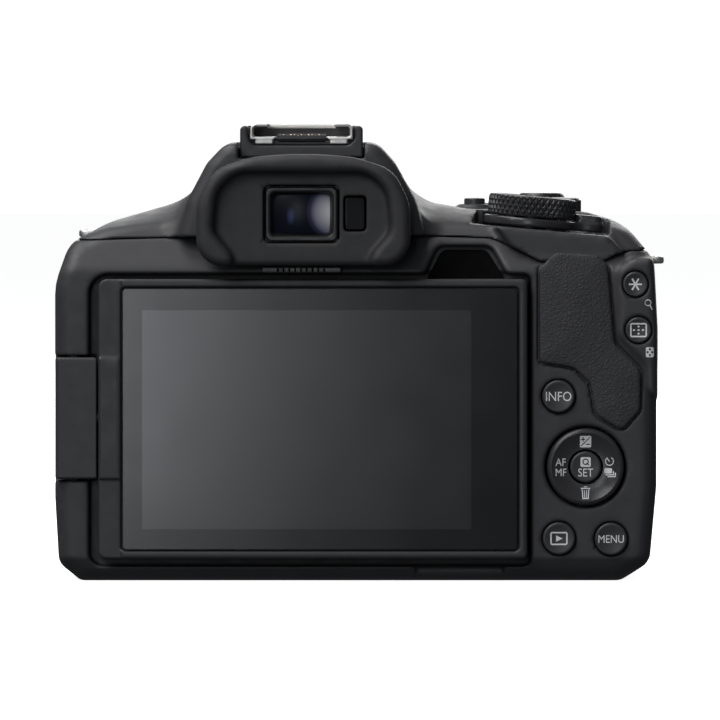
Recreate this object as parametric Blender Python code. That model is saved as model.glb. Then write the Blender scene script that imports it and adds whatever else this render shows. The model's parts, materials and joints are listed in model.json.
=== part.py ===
"""Compact mirrorless camera body with a side-hinged screen, as an assembly of separate pieces.

Lengths in this file are millimetres, and meshes are scaled to metres as they are made.
+X is the grip side seen from behind, +Y points at the subject, +Z is up, and Z = 0 is the base.
"""
import math

import bmesh
import bpy
from mathutils import Matrix, Vector

MM = 0.001
GAP = 0.3                 # clearance between neighbouring pieces
WALL = 2.4                # wall of the moulded covers
ARC_STEP = math.radians(30)
FAR = 90.0                # reach of a cutter past the body

# Driving dimensions of the body
REAR = -24.2              # flat back of the body
SPLIT = -6.0              # joint between rear and front cover
FRONT = 15.0              # flat front beside the mount
FLANGE = 18.0             # lens mount flange, 18 mm in front of the sensor
BASE = 2.5                # thickness of the base cover
DECK_INSIDE = 64.6        # underside of the deck
AXIS_X, AXIS_Z = -11.3, 33.0          # optical axis
THROAT_R = 27.0
EYE_X, EYE_Z = -11.2, 69.9            # viewfinder axis

# Screen and its two hinges
WELL_FLOOR = -18.9
SWING_X, SWING_Y = -54.5, -21.5       # vertical swing axis
TILT_Y, TILT_Z = -23.0, 31.05         # horizontal tilt axis
LCD_LEFT, LCD_RIGHT, LCD_LOW, LCD_HIGH = -49.8, 31.7, 4.4, 57.5
LCD_REAR, LCD_FRONT = -26.5, -19.5
BLOCK_LOW, BLOCK_HIGH = 19.5, 42.6

# Flash hinge, and the slot in the flash cover for the hot shoe's spine
FLASH_Y, FLASH_Z, FLASH_R = -15.0, 81.8, 1.4
FLASH_FLOOR = 76.2
SPINE_LEFT, SPINE_RIGHT, SPINE_TOP, SPINE_FRONT = -23.2, 0.7, 82.6, 3.5
SHOE_REAR, SHOE_FRONT = -17.5, 0.5
SHOE_APRON = 80.6         # lower edge of the shoe base at the rear

# Top controls
DIAL = Vector((32.8, -10.0, 71.2))
DIAL_TILT = math.radians(5.2)
DIAL_R = 8.4
DIAL_FLOOR, LEVER_FLOOR, TERRACE = 66.5, 66.7, 66.9     # floors round the dial, before it leans
LEVER_REACH = 13.8
SHUTTER = (35.0, 25.0)
MAIN_DIAL = (36.2, 11.5)
ISO = (25.2, 10.2)
MOVIE = (21.9, 4.0)

# Rear controls: name, x, z, cap radius
REAR_BUTTONS = (
    ("ae_lock_button", 52.2, 56.5, 2.4),
    ("af_point_button", 52.8, 47.8, 2.5),
    ("info_button", 37.6, 35.2, 3.1),
    ("playback_button", 37.7, 8.2, 3.1),
    ("menu_button", 47.6, 8.1, 3.1),
)
KEYS_X, KEYS_Z, KEYS_R, SET_R = 42.75, 21.8, 7.3, 2.95
KEYS_Y = -23.0

# Outlines: (u, v, corner radius), counter-clockwise
BODY_BACK = ((-53.3, 0, 2), (49.5, 0, 3), (55.0, 3.5, 3.5), (56.3, 18, 12), (56.3, 48, 20),
             (55.6, 61.5, 5), (50.5, 67.6, 8), (43.5, 69.9, 8), (20, 70.6, 10), (10.4, 72.3, 2),
             (-36, 71.5, 8), (-48, 68, 10), (-55.4, 64.3, 6), (-58.1, 56.5, 12), (-58.1, 16, 6),
             (-57.4, 3.4, 3))
BODY_SIDE = ((REAR, 4.4, 1.5), (-22, 0, 1.5), (34.4, 0, 3), (34.4, 58, 6), (22, 71, 6), (10, 74, 4),
             (-6, 74, 6), (-19, 67.6, 4), (REAR, 59.3, 2))
BODY_PLAN = ((-58.1, REAR, 3), (56.3, REAR, 4), (56.3, 12, 12), (50.5, 34.4, 9), (33, 34.4, 8),
             (28.5, FRONT, 4), (-49, FRONT, 7), (-58.1, 9, 6))
HUMP_BACK = ((-36, 60, 0.5), (14, 60, 0.5), (10.4, 72.7, 5), (6.6, 79.5, 5), (3.2, 83.3, 4),
             (-25.6, 83.3, 4), (-29.2, 79.5, 5), (-33, 72.3, 5))
HUMP_SIDE = ((-24.5, 60, 0.5), (18.5, 60, 0.5), (18.5, 74, 5), (12.5, 83, 6), (-24.5, 83.8, 2))
SEAM = ((-70, 64.3), (-33, 65.4), (11, 65.7), (24.6, 65.2), (27.5, 64.2), (34.1, 60.8),
        (36.8, 60.5), (45.6, 60.5), (48.4, 62.0), (51.2, 62.8), (70, 62.9))
THUMB = ((33.9, 41.6, 1.2), (40.5, 40.6, 3), (43.6, 37.5, 2.5), (44.6, 31.6, 2.5), (49.7, 28.6, 1.5),
         (53.2, 32.6, 2), (53.3, 40.2, 2.5), (48.3, 45.2, 3), (47.0, 60.4, 2), (45.0, 62.2, 1.5),
         (37.0, 62.6, 1.5), (33.9, 59.6, 1.5))
# Upright wall under the deck of the mode dial
DECK_WALL = ((30, 58, 1), (50, 58, 1), (50, 62.5, 1), (46.9, 65.9, 1), (24.4, 69, 1), (29, 63, 2))

# Colour, roughness and metallic value of each material
MATERIALS = {
    "black_plastic": ((0.022, 0.022, 0.024), 0.55, 0.0),
    "black_rubber": ((0.016, 0.016, 0.017), 0.85, 0.0),
    "button_plastic": ((0.03, 0.03, 0.032), 0.45, 0.0),
    "screen_glass": ((0.03, 0.033, 0.036), 0.08, 0.0),
    "lens_glass": ((0.05, 0.07, 0.12), 0.03, 0.0),
    "bare_metal": ((0.62, 0.61, 0.58), 0.3, 1.0),
    "dark_metal": ((0.12, 0.12, 0.13), 0.45, 1.0),
    "circuit_board": ((0.02, 0.09, 0.04), 0.5, 0.0),
    "sensor_glass": ((0.08, 0.12, 0.14), 0.12, 0.0),
    "clear_plastic": ((0.8, 0.82, 0.82), 0.1, 0.0),
    "battery_case": ((0.09, 0.09, 0.095), 0.5, 0.0),
    "card_case": ((0.03, 0.05, 0.12), 0.5, 0.0),
}


# ---------------------------------------------------------------- outlines

def rounded(corners):
    """Outline through the corners, each turned into an arc of its radius."""
    points = []
    count = len(corners)
    for index, (u, v, radius) in enumerate(corners):
        here = Vector((u, v))
        back = Vector(corners[index - 1][:2]) - here
        ahead = Vector(corners[(index + 1) % count][:2]) - here
        half = back.angle(ahead) / 2
        reach = min(radius / math.tan(half), 0.48 * back.length, 0.48 * ahead.length)
        radius = reach * math.tan(half)
        back.normalize()
        ahead.normalize()
        centre = here + (back + ahead).normalized() * (radius / math.sin(half))
        start = here + back * reach - centre
        sweep = math.pi - 2 * half
        side = 1 if back.x * ahead.y - back.y * ahead.x < 0 else -1
        steps = max(1, math.ceil(sweep / ARC_STEP))
        for step in range(steps + 1):
            angle = side * sweep * step / steps
            turned = Matrix.Rotation(angle, 2) @ start
            points.append(tuple(centre + turned))
    return points


def inset(corners, depth):
    """The same corners moved inwards by depth."""
    count = len(corners)
    moved = []
    for index, (u, v, radius) in enumerate(corners):
        here = Vector((u, v))
        into = (here - Vector(corners[index - 1][:2])).normalized()
        away = (Vector(corners[(index + 1) % count][:2]) - here).normalized()
        into_side = Vector((-into.y, into.x))
        away_side = Vector((-away.y, away.x))
        shift = (into_side + away_side) * (depth / (1 + into_side.dot(away_side)))
        moved.append((u + shift.x, v + shift.y, max(0.3, radius - depth)))
    return moved


def rectangle(left, right, low, high, radius=0.3):
    return rounded(((left, low, radius), (right, low, radius), (right, high, radius),
                    (left, high, radius)))


def circle(u, v, radius, sides=24):
    return [(u + radius * math.cos(math.tau * i / sides), v + radius * math.sin(math.tau * i / sides))
            for i in range(sides)]


def above_seam(offset):
    """Region over the seam between the top cover and the covers below it."""
    return [(x, z + offset) for x, z in SEAM] + [(70, FAR), (-70, FAR)]


def below_seam(offset):
    return [(-70, -10), (70, -10)] + [(x, z + offset) for x, z in reversed(SEAM)]


# ---------------------------------------------------------------- solids

AXES = {"x": (1, 2, 0), "y": (0, 2, 1), "z": (0, 1, 2)}


def prism(axis, outline, low, high, bevel=0.0):
    """Outline extruded along an axis; bevel rounds the edges of both ends."""
    across, up, along = AXES[axis]
    bm = bmesh.new()
    rings = []
    for level in (low, high):
        ring = []
        for a, b in outline:
            place = [0.0, 0.0, 0.0]
            place[across], place[up], place[along] = a * MM, b * MM, level * MM
            ring.append(bm.verts.new(place))
        rings.append(ring)
    caps = [bm.faces.new(ring) for ring in rings]
    count = len(outline)
    for i in range(count):
        j = (i + 1) % count
        bm.faces.new((rings[0][i], rings[0][j], rings[1][j], rings[1][i]))
    bmesh.ops.remove_doubles(bm, verts=bm.verts, dist=1e-6)
    bmesh.ops.recalc_face_normals(bm, faces=bm.faces)
    if bevel:
        edges = [edge for cap in caps for edge in cap.edges]
        bmesh.ops.bevel(bm, geom=edges, offset=bevel * MM, segments=1, affect="EDGES")
    mesh = bpy.data.meshes.new("solid")
    bm.to_mesh(mesh)
    bm.free()
    solid = bpy.data.objects.new("solid", mesh)
    bpy.context.collection.objects.link(solid)
    return solid


def box(x0, x1, y0, y1, z0, z1):
    return prism("z", ((x0, y0), (x1, y0), (x1, y1), (x0, y1)), z0, z1)


def disc(axis, u, v, radius, low, high, bevel=0.0, sides=24):
    return prism(axis, circle(u, v, radius, sides), low, high, bevel)


def combine(target, operation, *tools):
    """Boolean of the target with each tool in turn; the tools are used up."""
    for tool in tools:
        modifier = target.modifiers.new("boolean", "BOOLEAN")
        modifier.operation = operation
        modifier.object = tool
        depsgraph = bpy.context.evaluated_depsgraph_get()
        target.data = bpy.data.meshes.new_from_object(target.evaluated_get(depsgraph))
        target.modifiers.clear()
        bpy.data.objects.remove(tool)
    return target


def cut(target, *tools):
    return combine(target, "DIFFERENCE", *tools)


def join(target, *tools):
    return combine(target, "UNION", *tools)


def keep(target, *tools):
    return combine(target, "INTERSECT", *tools)


def tilt_to_dial(solid):
    """Lean a solid with the mode dial's axis."""
    centre = DIAL * MM
    lean = Matrix.Translation(centre) @ Matrix.Rotation(DIAL_TILT, 4, "Y") @ Matrix.Translation(-centre)
    solid.data.transform(lean)
    return solid


def name_part(solid, name, material, pivot=(0, 0, 0)):
    """Name a finished solid, give it its material, and put its origin on its pivot."""
    place = Vector(pivot) * MM
    solid.data.transform(Matrix.Translation(-place))
    solid.location = place
    solid.name = name
    solid.data.name = name
    solid.data.materials.clear()
    solid.data.materials.append(bpy.data.materials[material])
    solid.data.shade_smooth()
    solid.data.set_sharp_from_angle(angle=math.radians(35))
    return solid


def make_materials():
    for name, (colour, roughness, metallic) in MATERIALS.items():
        material = bpy.data.materials.new(name)
        material.use_nodes = True
        shader = material.node_tree.nodes["Principled BSDF"]
        shader.inputs["Base Color"].default_value = (*colour, 1)
        shader.inputs["Roughness"].default_value = roughness
        shader.inputs["Metallic"].default_value = metallic


# ---------------------------------------------------------------- covers

def envelope(depth=0.0):
    """Outer shape of the body without its hump, moved inwards by depth."""
    back, side, plan = (inset(shape, depth) for shape in (BODY_BACK, BODY_SIDE, BODY_PLAN))
    solid = prism("y", rounded(back), -FAR, FAR)
    return keep(solid, prism("x", rounded(side), -FAR, FAR), prism("z", rounded(plan), -FAR, FAR))


def hump():
    """Viewfinder hump, from the back of the body to over the lens mount."""
    return keep(prism("y", rounded(HUMP_BACK), -FAR, FAR), prism("x", rounded(HUMP_SIDE), -FAR, FAR))


def make_rear_cover():
    cover = keep(envelope(), prism("y", below_seam(-GAP / 2), -FAR, SPLIT - GAP / 2))
    inside = keep(envelope(WALL), box(-FAR, FAR, WELL_FLOOR + 1.5, FAR, -FAR, FAR))
    behind_controls = keep(envelope(2.0), box(34.5, FAR, -FAR, FAR, -FAR, FAR))
    cut(cover, inside, behind_controls)
    cut(cover, box(-FAR, FAR, -17.1, FAR, -FAR, BASE + GAP))
    well = rounded(((-51.6, 2.9, 2.5), (32.4, 2.9, 1.5), (32.4, 58.4, 1.5), (-51.6, 58.4, 3.8)))
    cut(cover, prism("y", well, -FAR, WELL_FLOOR))
    cut(cover, prism("y", ((11.7, 57), (28.4, 57), (25, 63.6), (14.5, 63.6)), -FAR, WELL_FLOOR - 0.6))
    cut(cover, prism("y", ((9.8, -5), (27.8, -5), (26.5, 3.5), (11.2, 3.5)), -FAR, -21.5))
    cut(cover, disc("z", SWING_X, SWING_Y, 4.9, BLOCK_LOW - GAP, BLOCK_HIGH + GAP))
    cut(cover, box(-FAR, -49, -FAR, SWING_Y, BLOCK_LOW - GAP, BLOCK_HIGH + GAP))
    cut(cover, box(-FAR, -57, -22, -17.2, BLOCK_LOW - GAP, BLOCK_HIGH + GAP))
    cut(cover, disc("z", SWING_X, SWING_Y, 1.5, 14.7, 47.4, sides=12))
    cut(cover, box(EYE_X - 7.3, EYE_X + 7.3, -FAR, FAR, EYE_Z - 5.6, FAR))
    cut(cover, box(-29, 8, -FAR, -21.5, 58.0, 61.6))
    for _, x, z, radius in REAR_BUTTONS:
        cut(cover, disc("y", x, z, radius + 0.35, -FAR, -15))
    cut(cover, disc("y", KEYS_X, KEYS_Z, KEYS_R + 0.5, -FAR, -15))
    return name_part(cover, "rear_cover", "black_plastic")


def make_front_cover():
    cover = join(envelope(), disc("y", AXIS_X, AXIS_Z, 31.6, 12.8, FLANGE - 0.6, sides=48))
    keep(cover, prism("y", below_seam(-GAP / 2), SPLIT + GAP / 2, FAR))
    cut(cover, envelope(WALL), box(-FAR, FAR, -FAR, FAR, -FAR, BASE + GAP))
    cut(cover, disc("y", AXIS_X, AXIS_Z, THROAT_R + 0.5, 0, FAR, sides=48))
    cut(cover, disc("y", AXIS_X, AXIS_Z, 30.5, 15.3, FAR, sides=48))
    cut(cover, disc("y", -46, 30, 4.35, 5, FAR), disc("y", 24, 60, 2.6, 5, FAR))
    cut(cover, disc("y", AXIS_X - 28.6, AXIS_Z, 1.2, 5, FAR, sides=12))
    cut(cover, box(-FAR, -53, -4.2, 3.9, 43.6, 56.4), box(51, FAR, -4.2, 3.9, 19.6, 44.4))
    cut(cover, box(52.0, FAR, -5.3, 5.3, 59.8, 62.1))
    skin = cut(envelope(-0.5), envelope(1.4))
    cut(cover, keep(skin, box(31.4, FAR, 15.7, FAR, 7.7, 56.3)))
    return name_part(cover, "front_cover", "black_plastic")


def make_grip_rubber():
    skin = cut(envelope(), envelope(1.1))
    keep(skin, box(31.7, FAR, 16, FAR, 8, 56))
    return name_part(skin, "grip_rubber", "black_rubber")


def make_base_cover():
    cover = keep(envelope(), box(-FAR, FAR, -16.8, FAR, -FAR, BASE))
    cut(cover, box(31.8, 49.7, -12.3, 26.3, -5, 10))
    cut(cover, disc("z", AXIS_X, 4, 5.3, -5, 10))
    return name_part(cover, "base_cover", "black_plastic")


def flash_pocket(spare):
    """Space of the flash cover in the hump: a front block and two legs beside the shoe's spine."""
    floor, left, right = FLASH_FLOOR - spare, SPINE_LEFT - 0.6 + spare, SPINE_RIGHT + 0.6 - spare
    front = SPINE_FRONT + 0.7 - spare
    pocket = box(-45, 25, front, FAR, floor, FAR)
    for x0, x1 in ((-45, left), (right, 25)):
        join(pocket, box(x0, x1, FLASH_Y - spare, front + 2, floor, FAR))
        join(pocket, disc("x", FLASH_Y, FLASH_Z, FLASH_R + spare, x0 + 0.1, x1 - 0.001))
    return pocket


def cut_dial_pocket(cover):
    """Recess of the mode dial and sweep of its lever, open to the rear as a low terrace."""
    cut(cover, tilt_to_dial(disc("z", DIAL.x, DIAL.y, DIAL_R + 1.1, DIAL_FLOOR, FAR, sides=32)))
    terrace = ((DIAL.x - 10.4, DIAL.y + 3), (DIAL.x - 10.4, DIAL.y - 7), (DIAL.x - 15, -40),
               (DIAL.x + 14.9, -40), (DIAL.x + 14.9, DIAL.y + 3))
    cut(cover, tilt_to_dial(prism("z", terrace, TERRACE, FAR)))
    reach = LEVER_REACH + 0.5
    wedge = [(DIAL.x, DIAL.y)]
    for step in range(8):
        angle = math.radians(-22 + 12 * step)
        wedge.append((DIAL.x + reach * math.cos(angle), DIAL.y + reach * math.sin(angle)))
    cut(cover, tilt_to_dial(prism("z", wedge, LEVER_FLOOR, FAR)))


def make_top_cover():
    cover = join(envelope(), hump(), prism("y", rounded(DECK_WALL), -23.9, -14, 0.8))
    housing = rounded(((-27, 60, 2), (5.3, 60, 2), (5.3, 79.5, 5), (-27, 79.5, 5)))
    join(cover, prism("y", housing, -28.2, -23))
    join(cover, disc("z", *SHUTTER, 6.2, 62, 71.2, 0.6), disc("z", *MOVIE, 3.2, 66, 71.5, 0.4))
    keep(cover, prism("y", above_seam(GAP / 2), -FAR, FAR))
    cut(cover, keep(envelope(WALL), box(-FAR, FAR, -FAR, FAR, -FAR, DECK_INSIDE)))
    cut(cover, box(-26.5, 4, -17, 15.5, 60, 73.6))
    cut(cover, box(EYE_X - 7.3, EYE_X + 7.3, -40, -9.5, EYE_Z - 5.6, EYE_Z + 5.6))
    cut(cover, box(-3.2, 1.1, -40, -24.7, 66.6, 73.4))
    cut(cover, flash_pocket(GAP))
    cut(cover, box(-24.8, 2.3, FLASH_Y - 0.2, SPINE_FRONT + 9, SPINE_TOP, FAR))
    left, right = SPINE_LEFT - 0.1, SPINE_RIGHT + 0.1
    cut(cover, box(left, right, -FAR, 0, SPINE_TOP, FAR))
    cut(cover, box(left, right, -FAR, SHOE_REAR + 1.5, SHOE_APRON - GAP, FAR))
    cut_dial_pocket(cover)
    cut(cover, disc("z", *SHUTTER, 4.95, 65.7, FAR), disc("z", *MAIN_DIAL, 6.7, 67.9, FAR))
    cut(cover, disc("z", *ISO, 2.75, 67.0, FAR), disc("z", *MOVIE, 2.35, 67.0, FAR))
    cut(cover, box(-FAR, -48.7, -5.3, 5.3, 60, 66.9))
    return name_part(cover, "top_cover", "black_plastic")


def make_thumb_rest():
    return name_part(prism("y", rounded(THUMB), -25.4, REAR - GAP, 0.4), "thumb_rest", "black_rubber")


# ---------------------------------------------------------------- viewfinder and hot shoe

def make_eyecup():
    outer = rounded(((-31.1, 60.1, 5), (9.4, 60.1, 5), (9.4, 73, 8), (7.0, 79.6, 5), (0, 81.4, 8),
                     (-21.7, 81.4, 8), (-28.7, 79.6, 5), (-31.1, 73, 8)))
    cup = prism("y", outer, -34.4, -25.4, 0.8)
    face = rounded(((-23.5, 55, 1), (0.9, 55, 1), (5.6, 68, 4), (4.4, 77.8, 4), (-26.8, 77.8, 4),
                    (-28, 68, 4)))
    cut(cup, prism("y", face, -FAR, -30.0))
    skirt = rounded(((-27.3, 50, 2), (5.6, 50, 2), (5.6, 79.8, 5), (-27.3, 79.8, 5)))
    cut(cup, prism("y", skirt, -28.5, 0))
    frame_hole = rectangle(EYE_X - 7.2, EYE_X + 7.2, EYE_Z - 5.5, EYE_Z + 5.5, 1.2)
    cut(cup, prism("y", frame_hole, -FAR, 0), prism("y", rectangle(-3.2, 1.1, 66.6, 73.4), -FAR, 0))
    return name_part(cup, "eyecup", "black_rubber")


def make_viewfinder():
    frame = prism("y", rectangle(EYE_X - 6.9, EYE_X + 6.9, EYE_Z - 5.2, EYE_Z + 5.2, 1.2), -30.1, -27)
    cut(frame, prism("y", rectangle(EYE_X - 5.9, EYE_X + 5.9, EYE_Z - 4.2, EYE_Z + 4.2, 1), -FAR, 0))
    name_part(frame, "eyepiece_frame", "black_plastic")
    lens = prism("y", rectangle(EYE_X - 5.6, EYE_X + 5.6, EYE_Z - 3.9, EYE_Z + 3.9, 1), -29.6, -27.6, 0.3)
    name_part(lens, "eyepiece_lens", "lens_glass")
    window = prism("y", rectangle(-2.9, 0.8, 66.9, 73.1, 0.7), -30.1, -25, 0.2)
    name_part(window, "eye_sensor_window", "screen_glass")
    barrel = box(EYE_X - 7, EYE_X + 7, -26.6, -12, EYE_Z - 5.3, EYE_Z + 5.3)
    cut(barrel, box(EYE_X - 5.6, EYE_X + 5.6, -40, 0, EYE_Z - 3.9, EYE_Z + 3.9))
    name_part(barrel, "evf_barrel", "black_plastic")
    display = box(EYE_X - 6.3, EYE_X + 6.3, -11.7, -10.5, EYE_Z - 4.6, EYE_Z + 3.4)
    name_part(display, "evf_display", "screen_glass")
    slider = prism("x", rectangle(-27.4, -21.8, 58.7, 59.8), EYE_X - 7.5, EYE_X + 7.5)
    name_part(slider, "diopter_slider", "button_plastic")


def make_hot_shoe():
    middle = (SPINE_LEFT + SPINE_RIGHT) / 2
    base = box(middle - 11.7, middle + 11.7, SHOE_REAR, SHOE_FRONT, SPINE_TOP + GAP, 86.5)
    join(base, box(middle - 11.7, middle + 11.7, SHOE_REAR, SHOE_REAR + 1.2, SHOE_APRON, 83.2))
    cut(base, box(middle - 10.2, middle + 10.2, -40, SHOE_FRONT - 1, SPINE_TOP + 1, FAR))
    name_part(base, "hot_shoe_base", "black_plastic")
    half, channel, slot = 9.85, 9.3, 6.25
    floor, step, lip, top = 83.9, 84.5, 86.4, 87.0
    profile = ((-half, floor), (half, floor), (half, top), (slot, top), (slot, lip), (channel, lip),
               (channel, step), (-channel, step), (-channel, lip), (-slot, lip), (-slot, top),
               (-half, top))
    rails = prism("y", [(middle + x, z) for x, z in profile], SHOE_REAR + 0.2, SHOE_FRONT - 1.4)
    cut(rails, box(middle - 5, middle + 5, -40, -4, 80, 85.5))
    name_part(rails, "hot_shoe_rails", "bare_metal")
    contacts = box(middle - 4.7, middle + 4.7, SHOE_REAR + 0.6, -4.4, 83.9, 84.9)
    name_part(contacts, "hot_shoe_contacts", "black_plastic")


def make_flash():
    pivot = (EYE_X, FLASH_Y, FLASH_Z)
    cover = keep(hump(), flash_pocket(0))
    cut(cover, box(-26, 3.6, 5.9, 13.4, 60, 79.9))
    name_part(cover, "flash_cover", "black_plastic", pivot)
    lens = box(-21, -1.4, 6.5, 12.8, FLASH_FLOOR, FLASH_FLOOR + 1.0)
    name_part(lens, "flash_lens", "clear_plastic", pivot)
    reflector = box(-21, -1.4, 6.5, 12.8, FLASH_FLOOR + 1.3, 79.5)
    cut(reflector, box(-19.8, -2.6, 7.4, 11.9, 70, 78.7))
    name_part(reflector, "flash_reflector", "bare_metal", pivot)


# ---------------------------------------------------------------- controls

def make_top_controls():
    dial = disc("z", DIAL.x, DIAL.y, DIAL_R, 69.2, 73.2, 0.4, sides=36)
    join(dial, disc("z", DIAL.x, DIAL.y, 3, 66.9, 69.6, sides=16))
    name_part(tilt_to_dial(dial), "mode_dial", "button_plastic", DIAL)

    ring_r, tab_r = 9.0, 2.6
    outline = []
    for step in range(25):
        angle = math.radians(20 + 320 * step / 24)
        outline.append((DIAL.x + ring_r * math.cos(angle), DIAL.y + ring_r * math.sin(angle)))
    for step in range(5):
        angle = math.radians(-80 + 160 * step / 4)
        outline.append((DIAL.x + LEVER_REACH - tab_r + tab_r * math.cos(angle),
                        DIAL.y + tab_r * math.sin(angle)))
    lever = prism("z", outline, 67.3, 68.9, 0.2)
    cut(lever, disc("z", DIAL.x, DIAL.y, 3.4, 60, 80, sides=16))
    name_part(tilt_to_dial(lever), "power_lever", "button_plastic", DIAL)

    for name, (x, y), radius, low, high in (("shutter_button", SHUTTER, 4.6, 67.5, 73.4),
                                            ("main_dial", MAIN_DIAL, 6.3, 68.3, 72.6),
                                            ("iso_button", ISO, 2.4, 68.1, 71.6),
                                            ("movie_button", MOVIE, 2.0, 68.1, 72.6)):
        name_part(disc("z", x, y, radius, low, high, 0.4), name, "button_plastic", (x, y, low))


def make_rear_controls():
    for name, x, z, radius in REAR_BUTTONS:
        cap = disc("y", x, z, radius, -25.3, -21.5, 0.3, sides=20)
        name_part(cap, name, "button_plastic", (x, -21.5, z))
    centre = (KEYS_X, KEYS_Y, KEYS_Z)
    plate = disc("y", KEYS_X, KEYS_Z, KEYS_R, -25.4, KEYS_Y, 0.5, sides=32)
    cut(plate, disc("y", KEYS_X, KEYS_Z, SET_R + 0.4, -40, 0, sides=20))
    name_part(plate, "cross_key_plate", "button_plastic", centre)
    gimbal = disc("y", KEYS_X, KEYS_Z, 6.2, -22.6, -21.2, sides=20)
    cut(gimbal, disc("y", KEYS_X, KEYS_Z, 4.2, -40, 0, sides=20))
    name_part(gimbal, "cross_key_gimbal", "button_plastic", centre)
    cap = disc("y", KEYS_X, KEYS_Z, SET_R, -25.7, -21.0, 0.3, sides=20)
    name_part(cap, "set_button", "button_plastic", centre)


# ---------------------------------------------------------------- screen

def make_screen_hinge():
    plan = [(-56.4, -25.6), (-50.1, -25.6)]
    for step in range(7):
        angle = math.radians(135 * step / 6)
        plan.append((SWING_X + 4.2 * math.cos(angle), SWING_Y + 4.2 * math.sin(angle)))
    plan += [(-58.0, -20.2), (-58.0, -23.9)]
    block = prism("z", plan, BLOCK_LOW, BLOCK_HIGH, 0.3)
    cut(block, disc("z", SWING_X, SWING_Y, 1.5, 0, FAR, sides=12))
    cut(block, disc("x", TILT_Y, TILT_Z, 1.75, -52.6, -40, sides=12))
    pivot = (SWING_X, SWING_Y, TILT_Z)
    name_part(block, "lcd_hinge_block", "black_plastic", pivot)
    shaft = disc("x", TILT_Y, TILT_Z, 1.4, -52.3, -46, sides=12)
    name_part(shaft, "lcd_tilt_shaft", "dark_metal", pivot)
    pin = disc("z", SWING_X, SWING_Y, 1.2, 15, 47.1, sides=12)
    name_part(pin, "lcd_hinge_pin", "dark_metal", pivot)


def make_screen():
    pivot = (LCD_LEFT, TILT_Y, TILT_Z)
    outline = rounded(((LCD_LEFT, LCD_LOW, 1.5), (LCD_RIGHT, LCD_LOW, 1), (LCD_RIGHT, LCD_HIGH, 1),
                       (LCD_LEFT, LCD_HIGH, 1.8)))
    shell = prism("y", outline, -24.6, LCD_FRONT, 0.5)
    cut(shell, box(LCD_LEFT + 1.4, LCD_RIGHT - 1.4, -40, LCD_FRONT - 1.2, LCD_LOW + 1.4, LCD_HIGH - 1.4))
    cut(shell, disc("x", TILT_Y, TILT_Z, 1.75, -51, -45, sides=12))
    name_part(shell, "lcd_back_shell", "black_plastic", pivot)
    bezel = prism("y", outline, LCD_REAR, -24.9, 0.3)
    cut(bezel, box(-45.5, 30.1, -40, -25.6, 5.8, 56), box(-43.3, 23.3, -40, 0, 8.2, 53.4))
    name_part(bezel, "lcd_bezel", "black_plastic", pivot)
    glass = prism("y", rectangle(-45.2, 29.8, 6.1, 55.7, 0.8), -26.4, -25.9)
    name_part(glass, "lcd_glass", "screen_glass", pivot)
    panel = box(-43, 23, -25.5, -21.2, 8.5, 53.1)
    name_part(panel, "lcd_panel", "screen_glass", pivot)


# ---------------------------------------------------------------- mount and inner pieces

def make_mount():
    ring = disc("y", AXIS_X, AXIS_Z, 30.2, 15.6, FLANGE, 0.2, sides=48)
    cut(ring, disc("y", AXIS_X, AXIS_Z, THROAT_R, 0, FAR, sides=48))
    cut(ring, disc("y", AXIS_X - 28.6, AXIS_Z, 1.2, 0, FAR, sides=12))
    name_part(ring, "mount_ring", "bare_metal")
    contacts = box(AXIS_X - 6.2, AXIS_X + 6.2, 9, 14.8, 7.4, 9.5)
    name_part(contacts, "mount_contacts", "black_plastic")
    button = disc("y", -46, 30, 4.0, 11.5, 17.0, 0.5)
    name_part(button, "lens_release_button", "button_plastic", (-46, 11.5, 30))
    pin = disc("y", AXIS_X - 28.6, AXIS_Z, 0.9, 10.6, 18.8, 0.2, sides=12)
    name_part(pin, "lens_lock_pin", "bare_metal", (AXIS_X - 28.6, 10.6, AXIS_Z))
    lamp = disc("y", 24, 60, 2.3, 13.2, 15.2, 0.3, sides=20)
    name_part(lamp, "af_assist_lamp", "clear_plastic")


def make_inner_frame():
    chassis = box(AXIS_X - 29, AXIS_X + 29, 6.4, 8.2, 8.6, 60)
    cut(chassis, box(AXIS_X - 14.5, AXIS_X + 14.5, 0, 20, 21, 45))
    name_part(chassis, "chassis", "dark_metal")
    shutter = box(AXIS_X - 18.5, AXIS_X + 18.5, 1.5, 6.1, 18, 48)
    cut(shutter, box(AXIS_X - 11.9, AXIS_X + 11.9, 0, 20, 24.9, 41.1))
    name_part(shutter, "shutter_unit", "dark_metal")
    sensor = box(AXIS_X - 11.15, AXIS_X + 11.15, -1.2, 0, AXIS_Z - 7.45, AXIS_Z + 7.45)
    name_part(sensor, "image_sensor", "sensor_glass")
    frame = box(AXIS_X - 15, AXIS_X + 15, -3.6, -1.5, 21, 45)
    name_part(frame, "sensor_frame", "dark_metal")
    name_part(box(-50, 28, -15.6, -14, 6, 58), "main_board", "circuit_board")


def make_power_and_card():
    name_part(box(35.3, 49.3, -8, 25, 3.2, 52.6), "battery", "battery_case")
    name_part(box(32.6, 34.7, -11, 13, 3.2, 35.2), "memory_card", "card_case")
    door = box(32.4, 49.4, -12, 26, 0.15, 2.2)
    cut(door, box(39.8, 46.8, 2.7, 11.3, -5, 5))
    name_part(door, "battery_door", "black_plastic", (33.2, 7, 0.9))
    name_part(box(43.5, 46.5, 3, 11, 0.3, 2.0), "battery_door_latch", "button_plastic", (43.5, 7, 1.2))
    socket = disc("z", AXIS_X, 4, 5.0, 0.2, 8, sides=24)
    cut(socket, disc("z", AXIS_X, 4, 3.2, -5, 6.6, sides=24))
    name_part(socket, "tripod_socket", "bare_metal")


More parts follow.
